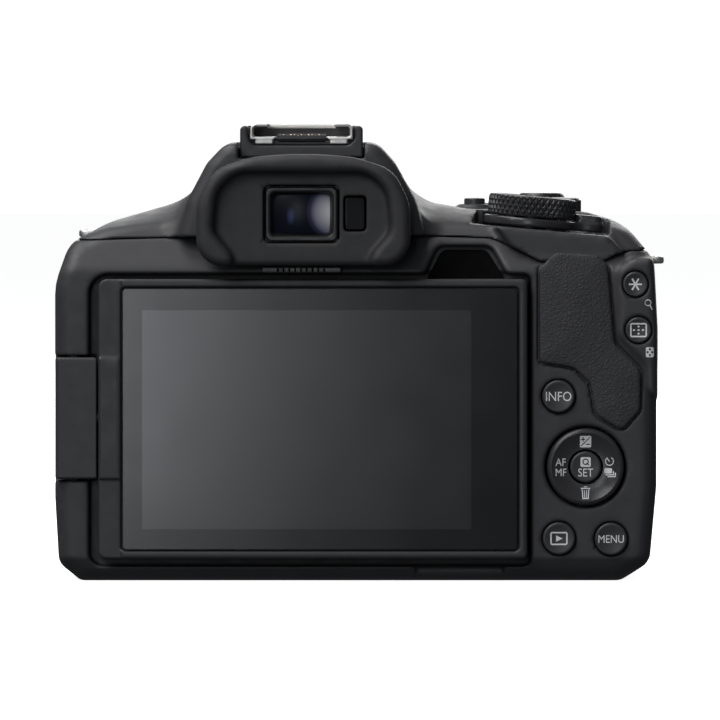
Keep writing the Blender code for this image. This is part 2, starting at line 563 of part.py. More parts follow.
def make_side_fittings():
    name_part(box(-58.0, -56.9, -3.7, 3.5, 44, 56), "mic_cover", "black_rubber", (-57.4, -3.2, 50))
    name_part(box(55.1, 56.2, -3.7, 3.5, 20, 44), "terminal_cover", "black_rubber", (55.6, -3.2, 32))
    for name, x0, x1, slot0, slot1, low in (("strap_lug_left", -53.9, -49, -53.0, -51.6, 65.2),
                                            ("strap_lug_right", 52.4, 58.1, 55.2, 57.1, 60.1)):
        lug = box(x0, x1, -5, 5, low, low + 1.4)
        cut(lug, box(slot0, slot1, -3.6, 3.6, low - 2, low + 4))
        name_part(lug, name, "bare_metal")


def main():
    for old in list(bpy.data.objects):
        bpy.data.objects.remove(old)
    make_materials()
    make_rear_cover()
    make_front_cover()
    make_grip_rubber()
    make_base_cover()
    make_top_cover()
    make_thumb_rest()
    make_eyecup()
    make_viewfinder()
    make_hot_shoe()
    make_flash()
    make_top_controls()
    make_rear_controls()
    make_screen_hinge()
    make_screen()
    make_mount()
    make_inner_frame()
    make_power_and_card()
    make_side_fittings()


main()
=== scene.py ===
"""Looks of a compact mirrorless camera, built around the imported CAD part.

Lengths are millimetres until a mesh is made. The axes are the CAD's: +X is the grip side seen
from behind, +Y points at the subject, +Z is up, and Z = 0 is the base.
"""

import json
import math

import bmesh
import bpy
import numpy as np
import openvdb
from mathutils import Matrix, Vector


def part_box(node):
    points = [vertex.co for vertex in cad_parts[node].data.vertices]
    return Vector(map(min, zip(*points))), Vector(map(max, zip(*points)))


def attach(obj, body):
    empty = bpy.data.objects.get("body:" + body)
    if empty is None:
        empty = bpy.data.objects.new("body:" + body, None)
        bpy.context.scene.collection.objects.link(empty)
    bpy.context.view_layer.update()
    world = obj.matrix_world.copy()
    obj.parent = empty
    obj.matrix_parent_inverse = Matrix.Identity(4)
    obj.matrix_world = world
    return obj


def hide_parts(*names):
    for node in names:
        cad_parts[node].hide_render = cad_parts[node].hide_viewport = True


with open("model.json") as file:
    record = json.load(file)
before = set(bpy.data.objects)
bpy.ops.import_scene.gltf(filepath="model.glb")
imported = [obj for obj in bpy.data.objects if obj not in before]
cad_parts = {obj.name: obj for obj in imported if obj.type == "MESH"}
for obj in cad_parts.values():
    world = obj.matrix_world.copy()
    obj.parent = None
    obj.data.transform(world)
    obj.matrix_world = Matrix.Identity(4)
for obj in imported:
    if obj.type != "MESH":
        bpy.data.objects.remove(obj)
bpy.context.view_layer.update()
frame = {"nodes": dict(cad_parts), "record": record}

MM = 0.001
FAR = 90.0                # reach of a cutter past the body
COARSE = 1.0
BODY_OF = {node: body for body, nodes in frame["record"]["behaviour"]["bodies"].items() for node in nodes}

# Driving dimensions, as in the CAD
REAR, SPLIT, FRONT, FLANGE = -24.2, -6.0, 15.0, 18.0
WALL, BASE, GAP, SEAM_GAP = 2.4, 2.5, 0.3, 0.14
AXIS_X, AXIS_Z = -11.3, 33.0
EYE_X, EYE_Z = -11.2, 69.9
WELL_FLOOR = -18.9
SWING_X, SWING_Y = -54.5, -21.5
BLOCK_LOW, BLOCK_HIGH = 19.5, 42.6
DIAL = (32.8, -10.0, 71.2)
DIAL_TILT = math.radians(5.2)
FLASH_Y, FLASH_Z, FLASH_R, FLASH_FLOOR = -15.0, 81.8, 1.4, 76.2
SPINE_LEFT, SPINE_RIGHT, SPINE_TOP, SPINE_FRONT = -23.2, 0.7, 82.6, 3.5
SHOE_REAR, SHOE_APRON = -17.5, 80.6
DIAL_FLOOR, LEVER_FLOOR, TERRACE = 66.5, 66.7, 66.9
SEAM_EASE = 0.18          # rounding of the covers' edges along their seam
CAP_FLOOR, CAP_GAP = -20.2, 0.16
CUP_FACE = -34.4
TILT_Y, TILT_Z = -23.0, 31.05
BASE_SCREWS = ((-50, -11), (-50, 8), (26, -11), (26, 10))
INK = 0.03                # thickness of the print
VIEW_DISTANCE, VIEW_WIDTH, FILM_WIDTH = 2.5, 0.1368, 36

# Outlines: (u, v, corner radius), counter-clockwise. Each face of the body comes from one of
# them only; where two would share a face, one of them runs wide of it.
BODY_BACK = ((-53.3, 0, 2), (49.5, 0, 3), (55.0, 3.5, 3.5), (56.3, 18, 12), (56.3, 48, 20),
             (55.6, 61.5, 5), (50.5, 67.6, 8), (43.5, 69.9, 8), (20, 70.6, 10), (10.4, 72.3, 2),
             (-36, 71.5, 8), (-48, 68, 10), (-55.4, 64.3, 6), (-58.1, 56.5, 12), (-58.1, 16, 6),
             (-57.4, 3.4, 3))
BODY_SIDE = ((REAR, 4.4, 1.5), (-17.5, -9, 1), (42, -9, 1), (42, 50, 1), (22, 71, 6),
             (10, 74, 4), (-6, 74, 6), (-19, 67.6, 5), (REAR, 59.3, 3))
BODY_PLAN = ((-66, -32, 1), (64, -32, 1), (64, -17.7, 1), (50.5, 34.4, 9), (33, 34.4, 8),
             (28.5, FRONT, 4), (-49, FRONT, 7), (-66, 3.8, 1))
HUMP_BACK = ((-36, 60, 0.5), (14, 60, 0.5), (10.4, 72.7, 5), (6.6, 79.5, 5), (3.2, 83.3, 4),
             (-25.6, 83.3, 4), (-29.2, 79.5, 5), (-33, 72.3, 5))
HUMP_SIDE = ((-24.5, 50, 0.5), (18.5, 50, 0.5), (18.5, 74, 5), (7.8, 90, 1), (-24.5, 90, 0.5))
SEAM = ((-70, 64.3), (-33, 65.4), (11, 65.7), (24.6, 65.2), (27.5, 64.2), (34.1, 60.8),
        (36.8, 60.5), (45.6, 60.5), (48.4, 62.0), (51.2, 62.8), (70, 62.9))
THUMB = ((33.9, 41.6, 1.2), (40.5, 40.6, 3), (43.6, 37.5, 2.5), (44.6, 31.6, 2.5), (49.7, 28.6, 1.5),
         (53.2, 32.6, 2), (53.3, 40.2, 2.5), (48.3, 45.2, 3), (47.0, 60.4, 2), (45.0, 62.2, 1.5),
         (37.0, 62.6, 1.5), (33.9, 59.6, 1.5))
# Upright wall under the deck of the mode dial
DECK_WALL = ((30, 58, 1), (50, 58, 1), (50, 62.5, 1), (46.9, 65.9, 1), (24.4, 69, 1), (29, 63, 2))
# Raised panel round the two upper buttons
PANEL = ((48.7, 59.2, 2.5), (48.6, 46.8, 3), (53.9, 41.2, 3), (54.2, 36, 2), (66, 30, 1), (66, 62.0, 1),
         (51.5, 61.4, 3))

REAR_BUTTONS = ("ae_lock_button", "af_point_button", "info_button", "playback_button", "menu_button")


# ---------------------------------------------------------------- distances

def rounded(corners, step=math.radians(12)):
    """Outline through the corners, each turned into an arc of its radius."""
    points = []
    count = len(corners)
    for index, (u, v, radius) in enumerate(corners):
        here = Vector((u, v))
        back = Vector(corners[index - 1][:2]) - here
        ahead = Vector(corners[(index + 1) % count][:2]) - here
        half = back.angle(ahead) / 2
        reach = min(radius / math.tan(half), 0.48 * back.length, 0.48 * ahead.length)
        radius = reach * math.tan(half)
        back.normalize()
        ahead.normalize()
        centre = here + (back + ahead).normalized() * (radius / math.sin(half))
        start = here + back * reach - centre
        sweep = math.pi - 2 * half
        side = 1 if back.x * ahead.y - back.y * ahead.x < 0 else -1
        steps = max(1, math.ceil(sweep / step))
        for turn in range(steps + 1):
            points.append(tuple(centre + Matrix.Rotation(side * sweep * turn / steps, 2) @ start))
    return points


def rectangle(left, right, low, high, radius):
    return ((left, low, radius), (right, low, radius), (right, high, radius), (left, high, radius))


def outline_distance(points, u, v):
    """Distance of every (u, v) to a closed outline, negative inside it."""
    nearest = np.float32(1e9)
    inside = False
    for (u0, v0), (u1, v1) in zip(points, points[1:] + points[:1]):
        du, dv = u1 - u0, v1 - v0
        length = du * du + dv * dv
        if length < 1e-9:
            continue
        along = np.clip(((u - u0) * du + (v - v0) * dv) / length, 0, 1)
        nearest = np.minimum(nearest, (u - u0 - along * du) ** 2 + (v - v0 - along * dv) ** 2)
        if dv:
            inside = inside ^ (((v0 <= v) != (v1 <= v)) & (u < u0 + (v - v0) * du / dv))
    return np.where(inside, -1, 1).astype(np.float32) * np.sqrt(nearest)


def meet(a, b, radius=None):
    """Intersection of two distance fields, its edge rounded."""
    if radius is None:
        return np.maximum(a, b)
    corner = np.sqrt(np.maximum(a + radius, 0) ** 2 + np.maximum(b + radius, 0) ** 2)
    return corner + np.minimum(np.maximum(a + radius, b + radius), 0) - radius


def join(a, b, radius=None):
    """Union, with a fillet in its inner corner."""
    return -meet(-a, -b, radius)


def carve(a, b, radius=None):
    """The first field without the second, the rim of the cut rounded."""
    return meet(a, -b, radius)


class Field:
    """A grid over part of the camera, on which solids are held as signed distances."""

    def __init__(self, low, high, step):
        self.step = step * COARSE
        margin = 3 * self.step
        axes = [np.arange(a - margin, b + margin + self.step / 2, self.step, dtype=np.float32)
                for a, b in zip(low, high)]
        self.low = np.array([axis[0] for axis in axes])
        self.shape = tuple(len(axis) for axis in axes)
        self.x = axes[0][:, None, None]
        self.y = axes[1][None, :, None]
        self.z = axes[2][None, None, :]

    def outline(self, axis, corners):
        """Rounded outline, endless along the axis."""
        u, v = {"x": (self.y, self.z), "y": (self.x, self.z), "z": (self.x, self.y)}[axis]
        return outline_distance(rounded(corners), u, v)

    def rod(self, axis, u, v, radius):
        a, b = {"x": (self.y, self.z), "y": (self.x, self.z), "z": (self.x, self.y)}[axis]
        return np.hypot(a - u, b - v) - radius

    def block(self, x0, x1, y0, y1, z0, z1, radius=0.3):
        """Box with rounded edges."""
        gaps = [np.abs(axis - (a + b) / 2) - (b - a) / 2 + radius
                for axis, a, b in ((self.x, x0, x1), (self.y, y0, y1), (self.z, z0, z1))]
        outside = np.sqrt(sum(np.maximum(gap, 0) ** 2 for gap in gaps))
        return outside + np.minimum(np.maximum(np.maximum(gaps[0], gaps[1]), gaps[2]), 0) - radius

    def leaning(self):
        """Coordinates along the mode dial's own axes, from its centre."""
        cos, sin = math.cos(DIAL_TILT), math.sin(DIAL_TILT)
        dx, dz = self.x - DIAL[0], self.z - DIAL[2]
        return dx * cos - dz * sin, self.y - DIAL[1], dx * sin + dz * cos

    def skin(self, solid, thinning=0.004):
        """Mesh of the solid's surface, in metres."""
        values = np.broadcast_to(np.clip(solid / self.step, -3, 3), self.shape).astype(np.float32)
        for axis in range(3):
            edge = np.moveaxis(values, axis, 0)
            edge[0] = edge[-1] = 3
        grid = openvdb.FloatGrid(3.0)
        grid.copyFromArray(np.ascontiguousarray(values))
        points, triangles, quads = grid.convertToPolygons(0.0, thinning)
        points = (points * self.step + self.low) * MM
        mesh = bpy.data.meshes.new("skin")
        mesh.from_pydata(points.tolist(), [], triangles[:, ::-1].tolist() + quads[:, ::-1].tolist())
        mesh.shade_smooth()
        return mesh

    def rear_surface(self, solid):
        """Depth of the solid's surface seen from behind, as a function of x and z."""
        filled = np.broadcast_to(solid, self.shape)
        first = np.argmax(filled < 0, axis=1)
        inner = np.take_along_axis(filled, first[:, None, :], 1)[:, 0, :]
        outer = np.take_along_axis(filled, np.maximum(first - 1, 0)[:, None, :], 1)[:, 0, :]
        depth = self.low[1] + (first - inner / np.minimum(inner - outer, -1e-6)) * self.step

        def at(x, z):
            i, j = int((x - self.low[0]) / self.step), int((z - self.low[2]) / self.step)
            s, t = (x - self.low[0]) / self.step - i, (z - self.low[2]) / self.step - j
            near = depth[i, j] * (1 - s) + depth[i + 1, j] * s
            far = depth[i, j + 1] * (1 - s) + depth[i + 1, j + 1] * s
            return float(near * (1 - t) + far * t)
        return at


def span(node):
    """Lowest and highest corner of a CAD node, in millimetres."""
    low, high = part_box(node)
    return low / MM, high / MM


def middle(node):
    low, high = span(node)
    return (low + high) / 2


def field_over(node, step, spare=0.0):
    low, high = span(node)
    return Field([v - spare for v in low], [v + spare for v in high], step)


# ---------------------------------------------------------------- materials

class Look:
    """A procedural material: node graph helpers round one Principled shader."""

    def __init__(self, name, slot, colour, roughness, metallic=0.0, **sockets):
        self.material = bpy.data.materials.new(name)
        self.slot = slot
        self.material.use_nodes = True
        self.tree = self.material.node_tree
        self.shader = self.tree.nodes["Principled BSDF"]
        self.colour, self.roughness = colour, roughness
        self.shader.inputs["Base Color"].default_value = (*colour, 1)
        self.shader.inputs["Roughness"].default_value = roughness
        self.shader.inputs["Metallic"].default_value = metallic
        for socket, value in sockets.items():
            self.shader.inputs[socket.replace("_", " ")].default_value = value
        self.place = self.node("TexCoord").outputs["Object"]
        self.height = None

    def node(self, kind, **settings):
        made = self.tree.nodes.new("ShaderNode" + kind)
        for key, value in settings.items():
            setattr(made, key, value)
        return made

    def link(self, source, target):
        self.tree.links.new(source, target)

    def noise(self, size, detail=2.0, stretch=None):
        """Noise with features of about a size in millimetres."""
        made = self.node("TexNoise")
        made.inputs["Scale"].default_value = 1 / (size * MM)
        made.inputs["Detail"].default_value = detail
        place = self.place
        if stretch:
            mapping = self.node("Mapping")
            mapping.inputs["Scale"].default_value = stretch
            self.link(place, mapping.inputs["Vector"])
            place = mapping.outputs["Vector"]
        self.link(place, made.inputs["Vector"])
        return made.outputs["Fac"]

    def cells(self, size, feature="DISTANCE_TO_EDGE"):
        made = self.node("TexVoronoi", feature=feature)
        made.inputs["Scale"].default_value = 1 / (size * MM)
        wobble = self.node("MixRGB", blend_type="ADD")
        wobble.inputs["Fac"].default_value = 1
        shift = self.node("TexNoise")
        shift.inputs["Scale"].default_value = 0.7 / (size * MM)
        self.link(self.place, shift.inputs["Vector"])
        scaled = self.node("VectorMath", operation="SCALE")
        scaled.inputs["Scale"].default_value = 0.9 * size * MM
        self.link(shift.outputs["Color"], scaled.inputs[0])
        self.link(self.place, wobble.inputs["Color1"])
        self.link(scaled.outputs["Vector"], wobble.inputs["Color2"])
        self.link(wobble.outputs["Color"], made.inputs["Vector"])
        return made.outputs["Distance"]

    def remap(self, source, low, high, to_low, to_high):
        made = self.node("MapRange")
        limits = {"From Min": low, "From Max": high, "To Min": to_low, "To Max": to_high}
        for socket, value in limits.items():
            made.inputs[socket].default_value = value
        self.link(source, made.inputs["Value"])
        return made.outputs["Result"]

    def mottle(self, size=7.0, shade=0.12, gloss=0.06):
        """Slight unevenness of colour and roughness."""
        patches = self.noise(size, 4.0)
        mix = self.node("MixRGB")
        mix.inputs["Color1"].default_value = (*[c * (1 - shade) for c in self.colour], 1)
        mix.inputs["Color2"].default_value = (*[min(1, c * (1 + shade)) for c in self.colour], 1)
        self.link(patches, mix.inputs["Fac"])
        self.tint = mix.outputs["Color"]
        self.link(self.tint, self.shader.inputs["Base Color"])
        smears = self.noise(size * 0.37, 5.0)
        rough = self.remap(smears, 0.3, 0.7, self.roughness - gloss, self.roughness + gloss)
        self.link(rough, self.shader.inputs["Roughness"])
        return self

    def wear(self, strength=0.5):
        """Edges rubbed a little lighter."""
        edge = self.remap(self.node("NewGeometry").outputs["Pointiness"], 0.52, 0.62, 0, strength)
        broken = self.node("Math", operation="MULTIPLY")
        self.link(edge, broken.inputs[0])
        self.link(self.remap(self.noise(2.0, 6.0), 0.4, 0.65, 0, 1), broken.inputs[1])
        mix = self.node("MixRGB")
        mix.inputs["Color2"].default_value = (*[min(1, c * 2.2 + 0.01) for c in self.colour], 1)
        self.link(self.tint, mix.inputs["Color1"])
        self.link(broken.outputs["Value"], mix.inputs["Fac"])
        self.link(mix.outputs["Color"], self.shader.inputs["Base Color"])
        return self

    def bump(self, source, depth, strength=1.0):
        """Adds relief of a depth in millimetres."""
        made = self.node("Bump")
        made.inputs["Distance"].default_value = depth * MM
        made.inputs["Strength"].default_value = strength
        self.link(source, made.inputs["Height"])
        if self.height:
            self.link(self.height, made.inputs["Normal"])
        self.height = made.outputs["Normal"]
        self.link(self.height, self.shader.inputs["Normal"])
        return self


def moulded(name, slot, colour, roughness, grain=0.35, depth=0.012, **sockets):
    """Plastic out of a spark-eroded mould: fine even grain."""
    look = Look(name, slot, colour, roughness, **sockets).mottle().wear(0.35)
    return look.bump(look.noise(grain, 3.0), depth).bump(look.noise(grain * 6, 2.0), depth * 1.5)


def leatherette(name, slot, colour, roughness, cell, depth):
    """Rubber skin with a pebbled grain."""
    look = Look(name, slot, colour, roughness).mottle(5.0, 0.15, 0.07)
    ridges = look.remap(look.cells(cell), 0.0, 0.35, 0.0, 1.0)
    return look.bump(ridges, depth).bump(look.noise(cell * 0.3, 3.0), depth * 0.35)


def metal(name, slot, colour, roughness, brushed=(1, 1, 1), depth=0.004):
    look = Look(name, slot, colour, roughness, 1.0).mottle(3.0, 0.08, 0.07)
    return look.bump(look.noise(0.25, 4.0, brushed), depth)


PLASTIC = moulded("body_plastic", "black_plastic", (0.034, 0.034, 0.037), 0.52)
COVER_PLASTIC = moulded("screen_plastic", "black_plastic", (0.026, 0.026, 0.029), 0.46, 0.3, 0.01)
BUTTON = moulded("button_cap", "button_plastic", (0.03, 0.03, 0.033), 0.4, 0.3, 0.006)
KEY_RING = moulded("key_ring", "button_plastic", (0.034, 0.034, 0.037), 0.3, 0.3, 0.003)
DARK_TRIM = moulded("dark_trim", "black_plastic", (0.012, 0.012, 0.013), 0.38, 0.3, 0.004)
EYE_RUBBER = moulded("eye_rubber", "black_rubber", (0.026, 0.026, 0.028), 0.62, 0.5, 0.012)
PAD_RUBBER = leatherette("pad_rubber", "black_rubber", (0.03, 0.03, 0.033), 0.58, 0.75, 0.05)
GRIP_RUBBER = leatherette("grip_leatherette", "black_rubber", (0.026, 0.026, 0.028), 0.6, 1.0, 0.09)
# Near-black, nearly unreflective material for painted shade: sheets of it stand where only shade falls
SHADE_BLACK = moulded("painted_shade_black", "black_rubber", (0.004, 0.004, 0.004), 0.9, Specular_IOR_Level=0.1)
SOFT_RUBBER = moulded("soft_rubber", "black_rubber", (0.022, 0.022, 0.024), 0.66, 0.4, 0.015)
PRINT = Look("white_print", "button_plastic", (0.8, 0.81, 0.82), 0.5).mottle(1.0, 0.06, 0.05)
PRINT.bump(PRINT.noise(0.2, 2.0), 0.004)
STEEL = metal("brushed_steel", "bare_metal", (0.68, 0.67, 0.65), 0.45, (1, 0.06, 1))
SATIN_STEEL = metal("satin_steel", "bare_metal", (0.68, 0.67, 0.65), 0.46)
DARK_STEEL = metal("blackened_steel", "dark_metal", (0.1, 0.1, 0.11), 0.42)
GOLD = metal("contact_gold", "bare_metal", (0.9, 0.68, 0.3), 0.28)


def glassy(name, slot, colour, roughness, **sockets):
    """Glass over a dark ground: clean, with faint smears in its gloss."""
    look = Look(name, slot, colour, roughness, **sockets)
    look.mottle(22.0, 0.05, 0.012)
    return look.bump(look.noise(9.0, 1.0), 0.002)


SCREEN_GLASS = glassy("screen_glass", "screen_glass", (0.006, 0.0065, 0.007), 0.19, Specular_IOR_Level=0.36)
SCREEN_ACTIVE = glassy("screen_active", "screen_glass", (0.013, 0.0145, 0.016), 0.19)


def glass_with_painted_reflections():
    """Eyepiece glass: nearly black, with painted reflections in its colour: a pale patch in a violet fringe
    on one side, and a small blue spot.
    """
    look = glassy("eyepiece_glass", "lens_glass", (0.004, 0.007, 0.013), 0.3, Specular_IOR_Level=0.12)
    # Painted reflections: centre, squash, outer radius, inner radius and colour of each patch
    painted_reflections = (((EYE_X + 6.4, EYE_Z + 0.4), 1.0, 5.6, 4.0, (0.07, 0.07, 0.14)),
             ((EYE_X + 6.4, EYE_Z + 0.4), 1.0, 4.7, 1.2, (0.66, 0.67, 0.7)),
             ((EYE_X - 2.0, EYE_Z - 0.4), 0.5, 0.9, 0.2, (0.035, 0.045, 0.12)))
    for (x, z), squash, edge, core, colour in painted_reflections:
        offset = look.node("VectorMath", operation="SUBTRACT")
        offset.inputs[1].default_value = Vector((x, 0, z)) * MM
        look.link(look.place, offset.inputs[0])
        flat = look.node("VectorMath", operation="MULTIPLY")
        flat.inputs[1].default_value = (1, 0, squash)
        look.link(offset.outputs["Vector"], flat.inputs[0])
        reach = look.node("VectorMath", operation="LENGTH")
        look.link(flat.outputs["Vector"], reach.inputs[0])
        mix = look.node("MixRGB")
        mix.inputs["Color2"].default_value = (*colour, 1)
        look.link(look.tint, mix.inputs["Color1"])
        look.link(look.remap(reach.outputs["Value"], edge * MM, core * MM, 0, 1), mix.inputs["Fac"])
        look.tint = mix.outputs["Color"]
    look.link(look.tint, look.shader.inputs["Base Color"])
    return look


EYE_GLASS = glass_with_painted_reflections()
WINDOW = glassy("sensor_window", "screen_glass", (0.004, 0.004, 0.005), 0.08)
SENSOR = glassy("sensor_glass", "sensor_glass", (0.06, 0.1, 0.12), 0.08, Coat_Weight=1.0)
CLEAR = glassy("clear_plastic", "clear_plastic", (0.75, 0.77, 0.78), 0.12, Transmission_Weight=0.6)
BOARD = moulded("circuit_board", "circuit_board", (0.02, 0.09, 0.04), 0.45, 0.8, 0.03)
BATTERY = moulded("battery_case", "battery_case", (0.09, 0.09, 0.095), 0.5)
CARD = moulded("card_case", "card_case", (0.03, 0.05, 0.12), 0.5)


# ---------------------------------------------------------------- pieces

def add(name, mesh, look, *nodes, body=None):
    """Put a finished mesh on the body of the CAD nodes it stands for."""
    piece = bpy.data.objects.new(name, mesh)
    bpy.context.collection.objects.link(piece)
    mesh.materials.clear()
    mesh.materials.append(look.material)
    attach(piece, body or BODY_OF[nodes[0]])
    if nodes:
        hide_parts(*nodes)
    return piece


def even_normals(piece):
    """Keep flat faces flat beside small rounded edges."""
    piece.data.shade_smooth()
    piece.data.set_sharp_from_angle(angle=math.radians(40))
    modifier = piece.modifiers.new("normals", "WEIGHTED_NORMAL")
    modifier.keep_sharp = True
    return piece


def mesh_from(bm, place=Matrix.Identity(4)):
    """Finish a bmesh given in millimetres: outward normals, placed, in metres."""
    bmesh.ops.remove_doubles(bm, verts=bm.verts, dist=1e-4)
    bmesh.ops.recalc_face_normals(bm, faces=bm.faces)
    mesh = bpy.data.meshes.new("solid")
    bm.to_mesh(mesh)
    bm.free()
    mesh.transform(Matrix.Scale(MM, 4) @ place)
    return mesh


def add_solid(name, bm, look, *nodes, body=None, place=Matrix.Identity(4)):
    """Finish a bmesh as a piece whose flat faces stay flat."""
    return even_normals(add(name, mesh_from(bm, place), look, *nodes, body=body))


def absorb(bm, part):
    """Move the contents of another bmesh into this one."""
    shape = bpy.data.meshes.new("part")
    part.to_mesh(shape)
    part.free()
    bm.from_mesh(shape)
    bpy.data.meshes.remove(shape)


SPREAD = {"x": (1, 2, 0), "y": (0, 2, 1), "z": (0, 1, 2)}


def prism(axis, outline, low, high, bevel=0.0, bm=None, segments=3):
    """Outline extruded along an axis into a bmesh, the edges of both ends rounded."""
    bm = bm or bmesh.new()
    across, up, along = SPREAD[axis]
    rings = []
    for level in (low, high):
        ring = []
        for point in outline:
            place = [0.0, 0.0, 0.0]
            place[across], place[up], place[along] = point[0], point[1], level
            ring.append(bm.verts.new(place))
        rings.append(ring)
    caps = [bm.faces.new(ring) for ring in rings]
    sides = []
    for i in range(len(outline)):
        j = (i + 1) % len(outline)
        sides.append(bm.faces.new((rings[0][i], rings[0][j], rings[1][j], rings[1][i])))
    bmesh.ops.recalc_face_normals(bm, faces=caps + sides)
    if bevel:
        edges = list({edge for cap in caps for edge in cap.edges})
        bmesh.ops.bevel(bm, geom=edges, offset=bevel, segments=segments, affect="EDGES", profile=0.5)
    return bm


def brick(bm, x0, x1, y0, y1, z0, z1, bevel=0.1):
    """Box with all its edges rounded, added to a bmesh."""
    made = bmesh.ops.create_cube(bm, size=1)["verts"]
    for vert in made:
        vert.co = Vector((x0 if vert.co.x < 0 else x1, y0 if vert.co.y < 0 else y1,
                          z0 if vert.co.z < 0 else z1))
    edges = list({edge for vert in made for edge in vert.link_edges})
    bmesh.ops.bevel(bm, geom=edges, offset=bevel, segments=2, affect="EDGES", profile=0.5)
    return bm


def lathe(bm, profile, sides=64):
    """Closed profile of (radius, height) turned about Z, added to a bmesh."""
    rings = []
    for radius, height in profile:
        if radius < 1e-4:
            rings.append([bm.verts.new((0, 0, height))] * sides)
        else:
            rings.append([bm.verts.new((radius * math.cos(math.tau * i / sides),
                                        radius * math.sin(math.tau * i / sides), height))
                          for i in range(sides)])
    for below, above in zip(rings, rings[1:] + rings[:1]):
        for i in range(sides):
            j = (i + 1) % sides
            corners = []
            for vert in (below[i], below[j], above[j], above[i]):
                if vert not in corners:
                    corners.append(vert)
            if len(corners) > 2:
                bm.faces.new(corners)
    return bm


def facing(direction, x, y, z):
    """Placement that stands a piece made along +Z on a point, facing a direction."""
    turns = {"rear": Matrix.Rotation(math.pi / 2, 4, "X"), "front": Matrix.Rotation(-math.pi / 2, 4, "X"),
             "up": Matrix.Identity(4), "down": Matrix.Rotation(math.pi, 4, "X"),
             "left": Matrix.Rotation(-math.pi / 2, 4, "Y"), "right": Matrix.Rotation(math.pi / 2, 4, "Y")}
    return Matrix.Translation((x, y, z)) @ turns[direction]


def dressed(node, look):
    """Keep a CAD node and give it a finished material."""
    piece = frame["nodes"][node]
    piece.data.materials.clear()
    piece.data.materials.append(look.material)


# ---------------------------------------------------------------- covers

def envelope(f):
    """Outer shape of the body without its hump, rounded; and the same with sharp edges."""
    back, side, plan = f.outline("y", BODY_BACK), f.outline("x", BODY_SIDE), f.outline("z", BODY_PLAN)
    return meet(meet(back, side, 3.0), plan, 3.5), np.maximum(np.maximum(back, side), plan)


def under_seam(f, offset):
    region = [(-70, -10), (70, -10)] + [(x, z + offset) for x, z in reversed(SEAM)]
    return outline_distance(region, f.x, f.z)


def cap_well(f, cover, node):
    """Hole that a rear button slides in, its edge eased."""
    low, high = span(node)
    hole = f.rod("y", middle(node).x, middle(node).z, (high.x - low.x) / 2 + CAP_GAP)
    return carve(cover, meet(hole, f.y - CAP_FLOOR), 0.3)


def make_rear_cover():
    f = Field((-58.6, -25.4, -0.4), (56.8, SPLIT, 70), 0.33)
    outer, sharp = envelope(f)
    raised = meet(f.outline("y", BODY_BACK), outline_distance(rounded(PANEL), f.x, f.z), 0.6)
    raised = meet(raised, -(f.y + 25.0), 1.3)
    cover = join(outer, raised, 0.8)
    cover = carve(cover, meet(sharp + WALL, -(f.y + 17.4)))
    cover = carve(cover, meet(meet(sharp + 2.0, 34.5 - f.x), -(f.y + 21.6)))
    cover = meet(cover, f.y - (SPLIT - GAP / 2), 0.3)
    cover = meet(cover, under_seam(f, -SEAM_GAP / 2), SEAM_EASE)
    cover = carve(cover, np.maximum(-17.1 - f.y, f.z - BASE - GAP))
    well = f.outline("y", ((-51.6, 2.9, 2.5), (32.4, 2.9, 1.5), (32.4, 58.4, 1.5), (-51.6, 58.4, 3.8)))
    cover = carve(cover, np.maximum(well, f.y - WELL_FLOOR), 0.7)
    notch = f.outline("y", ((11.0, 56, 0.3), (29.1, 56, 0.3), (24.8, 63.7, 2.2), (14.7, 63.7, 2.2)))
    cover = carve(cover, np.maximum(notch, f.y - (WELL_FLOOR - 0.6)), 0.9)
    lip = f.outline("y", ((9.2, -5, 0.3), (28.4, -5, 0.3), (26.7, 4.5, 1.2), (11.0, 4.5, 1.2)))
    cover = carve(cover, np.maximum(lip, f.y + 21.5), 0.8)
    level = np.maximum(BLOCK_LOW - GAP - f.z, f.z - BLOCK_HIGH - GAP)
    cover = carve(cover, np.maximum(f.rod("z", SWING_X, SWING_Y, 4.9), level), 0.25)
    side_opening = np.maximum(np.maximum(f.x + 49, f.y - SWING_Y), level)
    cover = carve(cover, side_opening, 0.3)
    cover = carve(cover, np.maximum(np.maximum(f.x + 57, f.y + 17.2), level), 0.3)
    cover = carve(cover, f.block(EYE_X - 7.3, EYE_X + 7.3, -FAR, FAR, EYE_Z - 5.6, FAR))
    for node in REAR_BUTTONS:
        cover = cap_well(f, cover, node)
    keys = middle("cross_key_plate")
    cover = carve(cover, meet(f.rod("y", keys.x, keys.z, 7.95), f.y + 23.9, 0.3), 0.3)
    cover = carve(cover, meet(f.rod("y", keys.x, keys.z, 7.7), f.y + 20.6), 0.15)
    groove = np.abs(outline_distance(rounded(THUMB), f.x, f.z) - 0.1) - 0.22
    cover = carve(cover, np.maximum(groove, f.y + 23.7), 0.12)
    add("rear_cover_shell", f.skin(cover), PLASTIC, "rear_cover")
    # Painted shade: a near-black sheet on the floor of the finger notch darkens the recess
    pad = rounded(((12.6, 57.4, 0.3), (27.5, 57.4, 0.3), (24.0, 63.0, 1.8), (15.5, 63.0, 1.8)))
    pad = prism("y", pad, WELL_FLOOR - 0.75, WELL_FLOOR - 0.5, 0.05)
    add_solid("finger_notch_shade", pad, SHADE_BLACK, body="root")
    return f.rear_surface(cover)


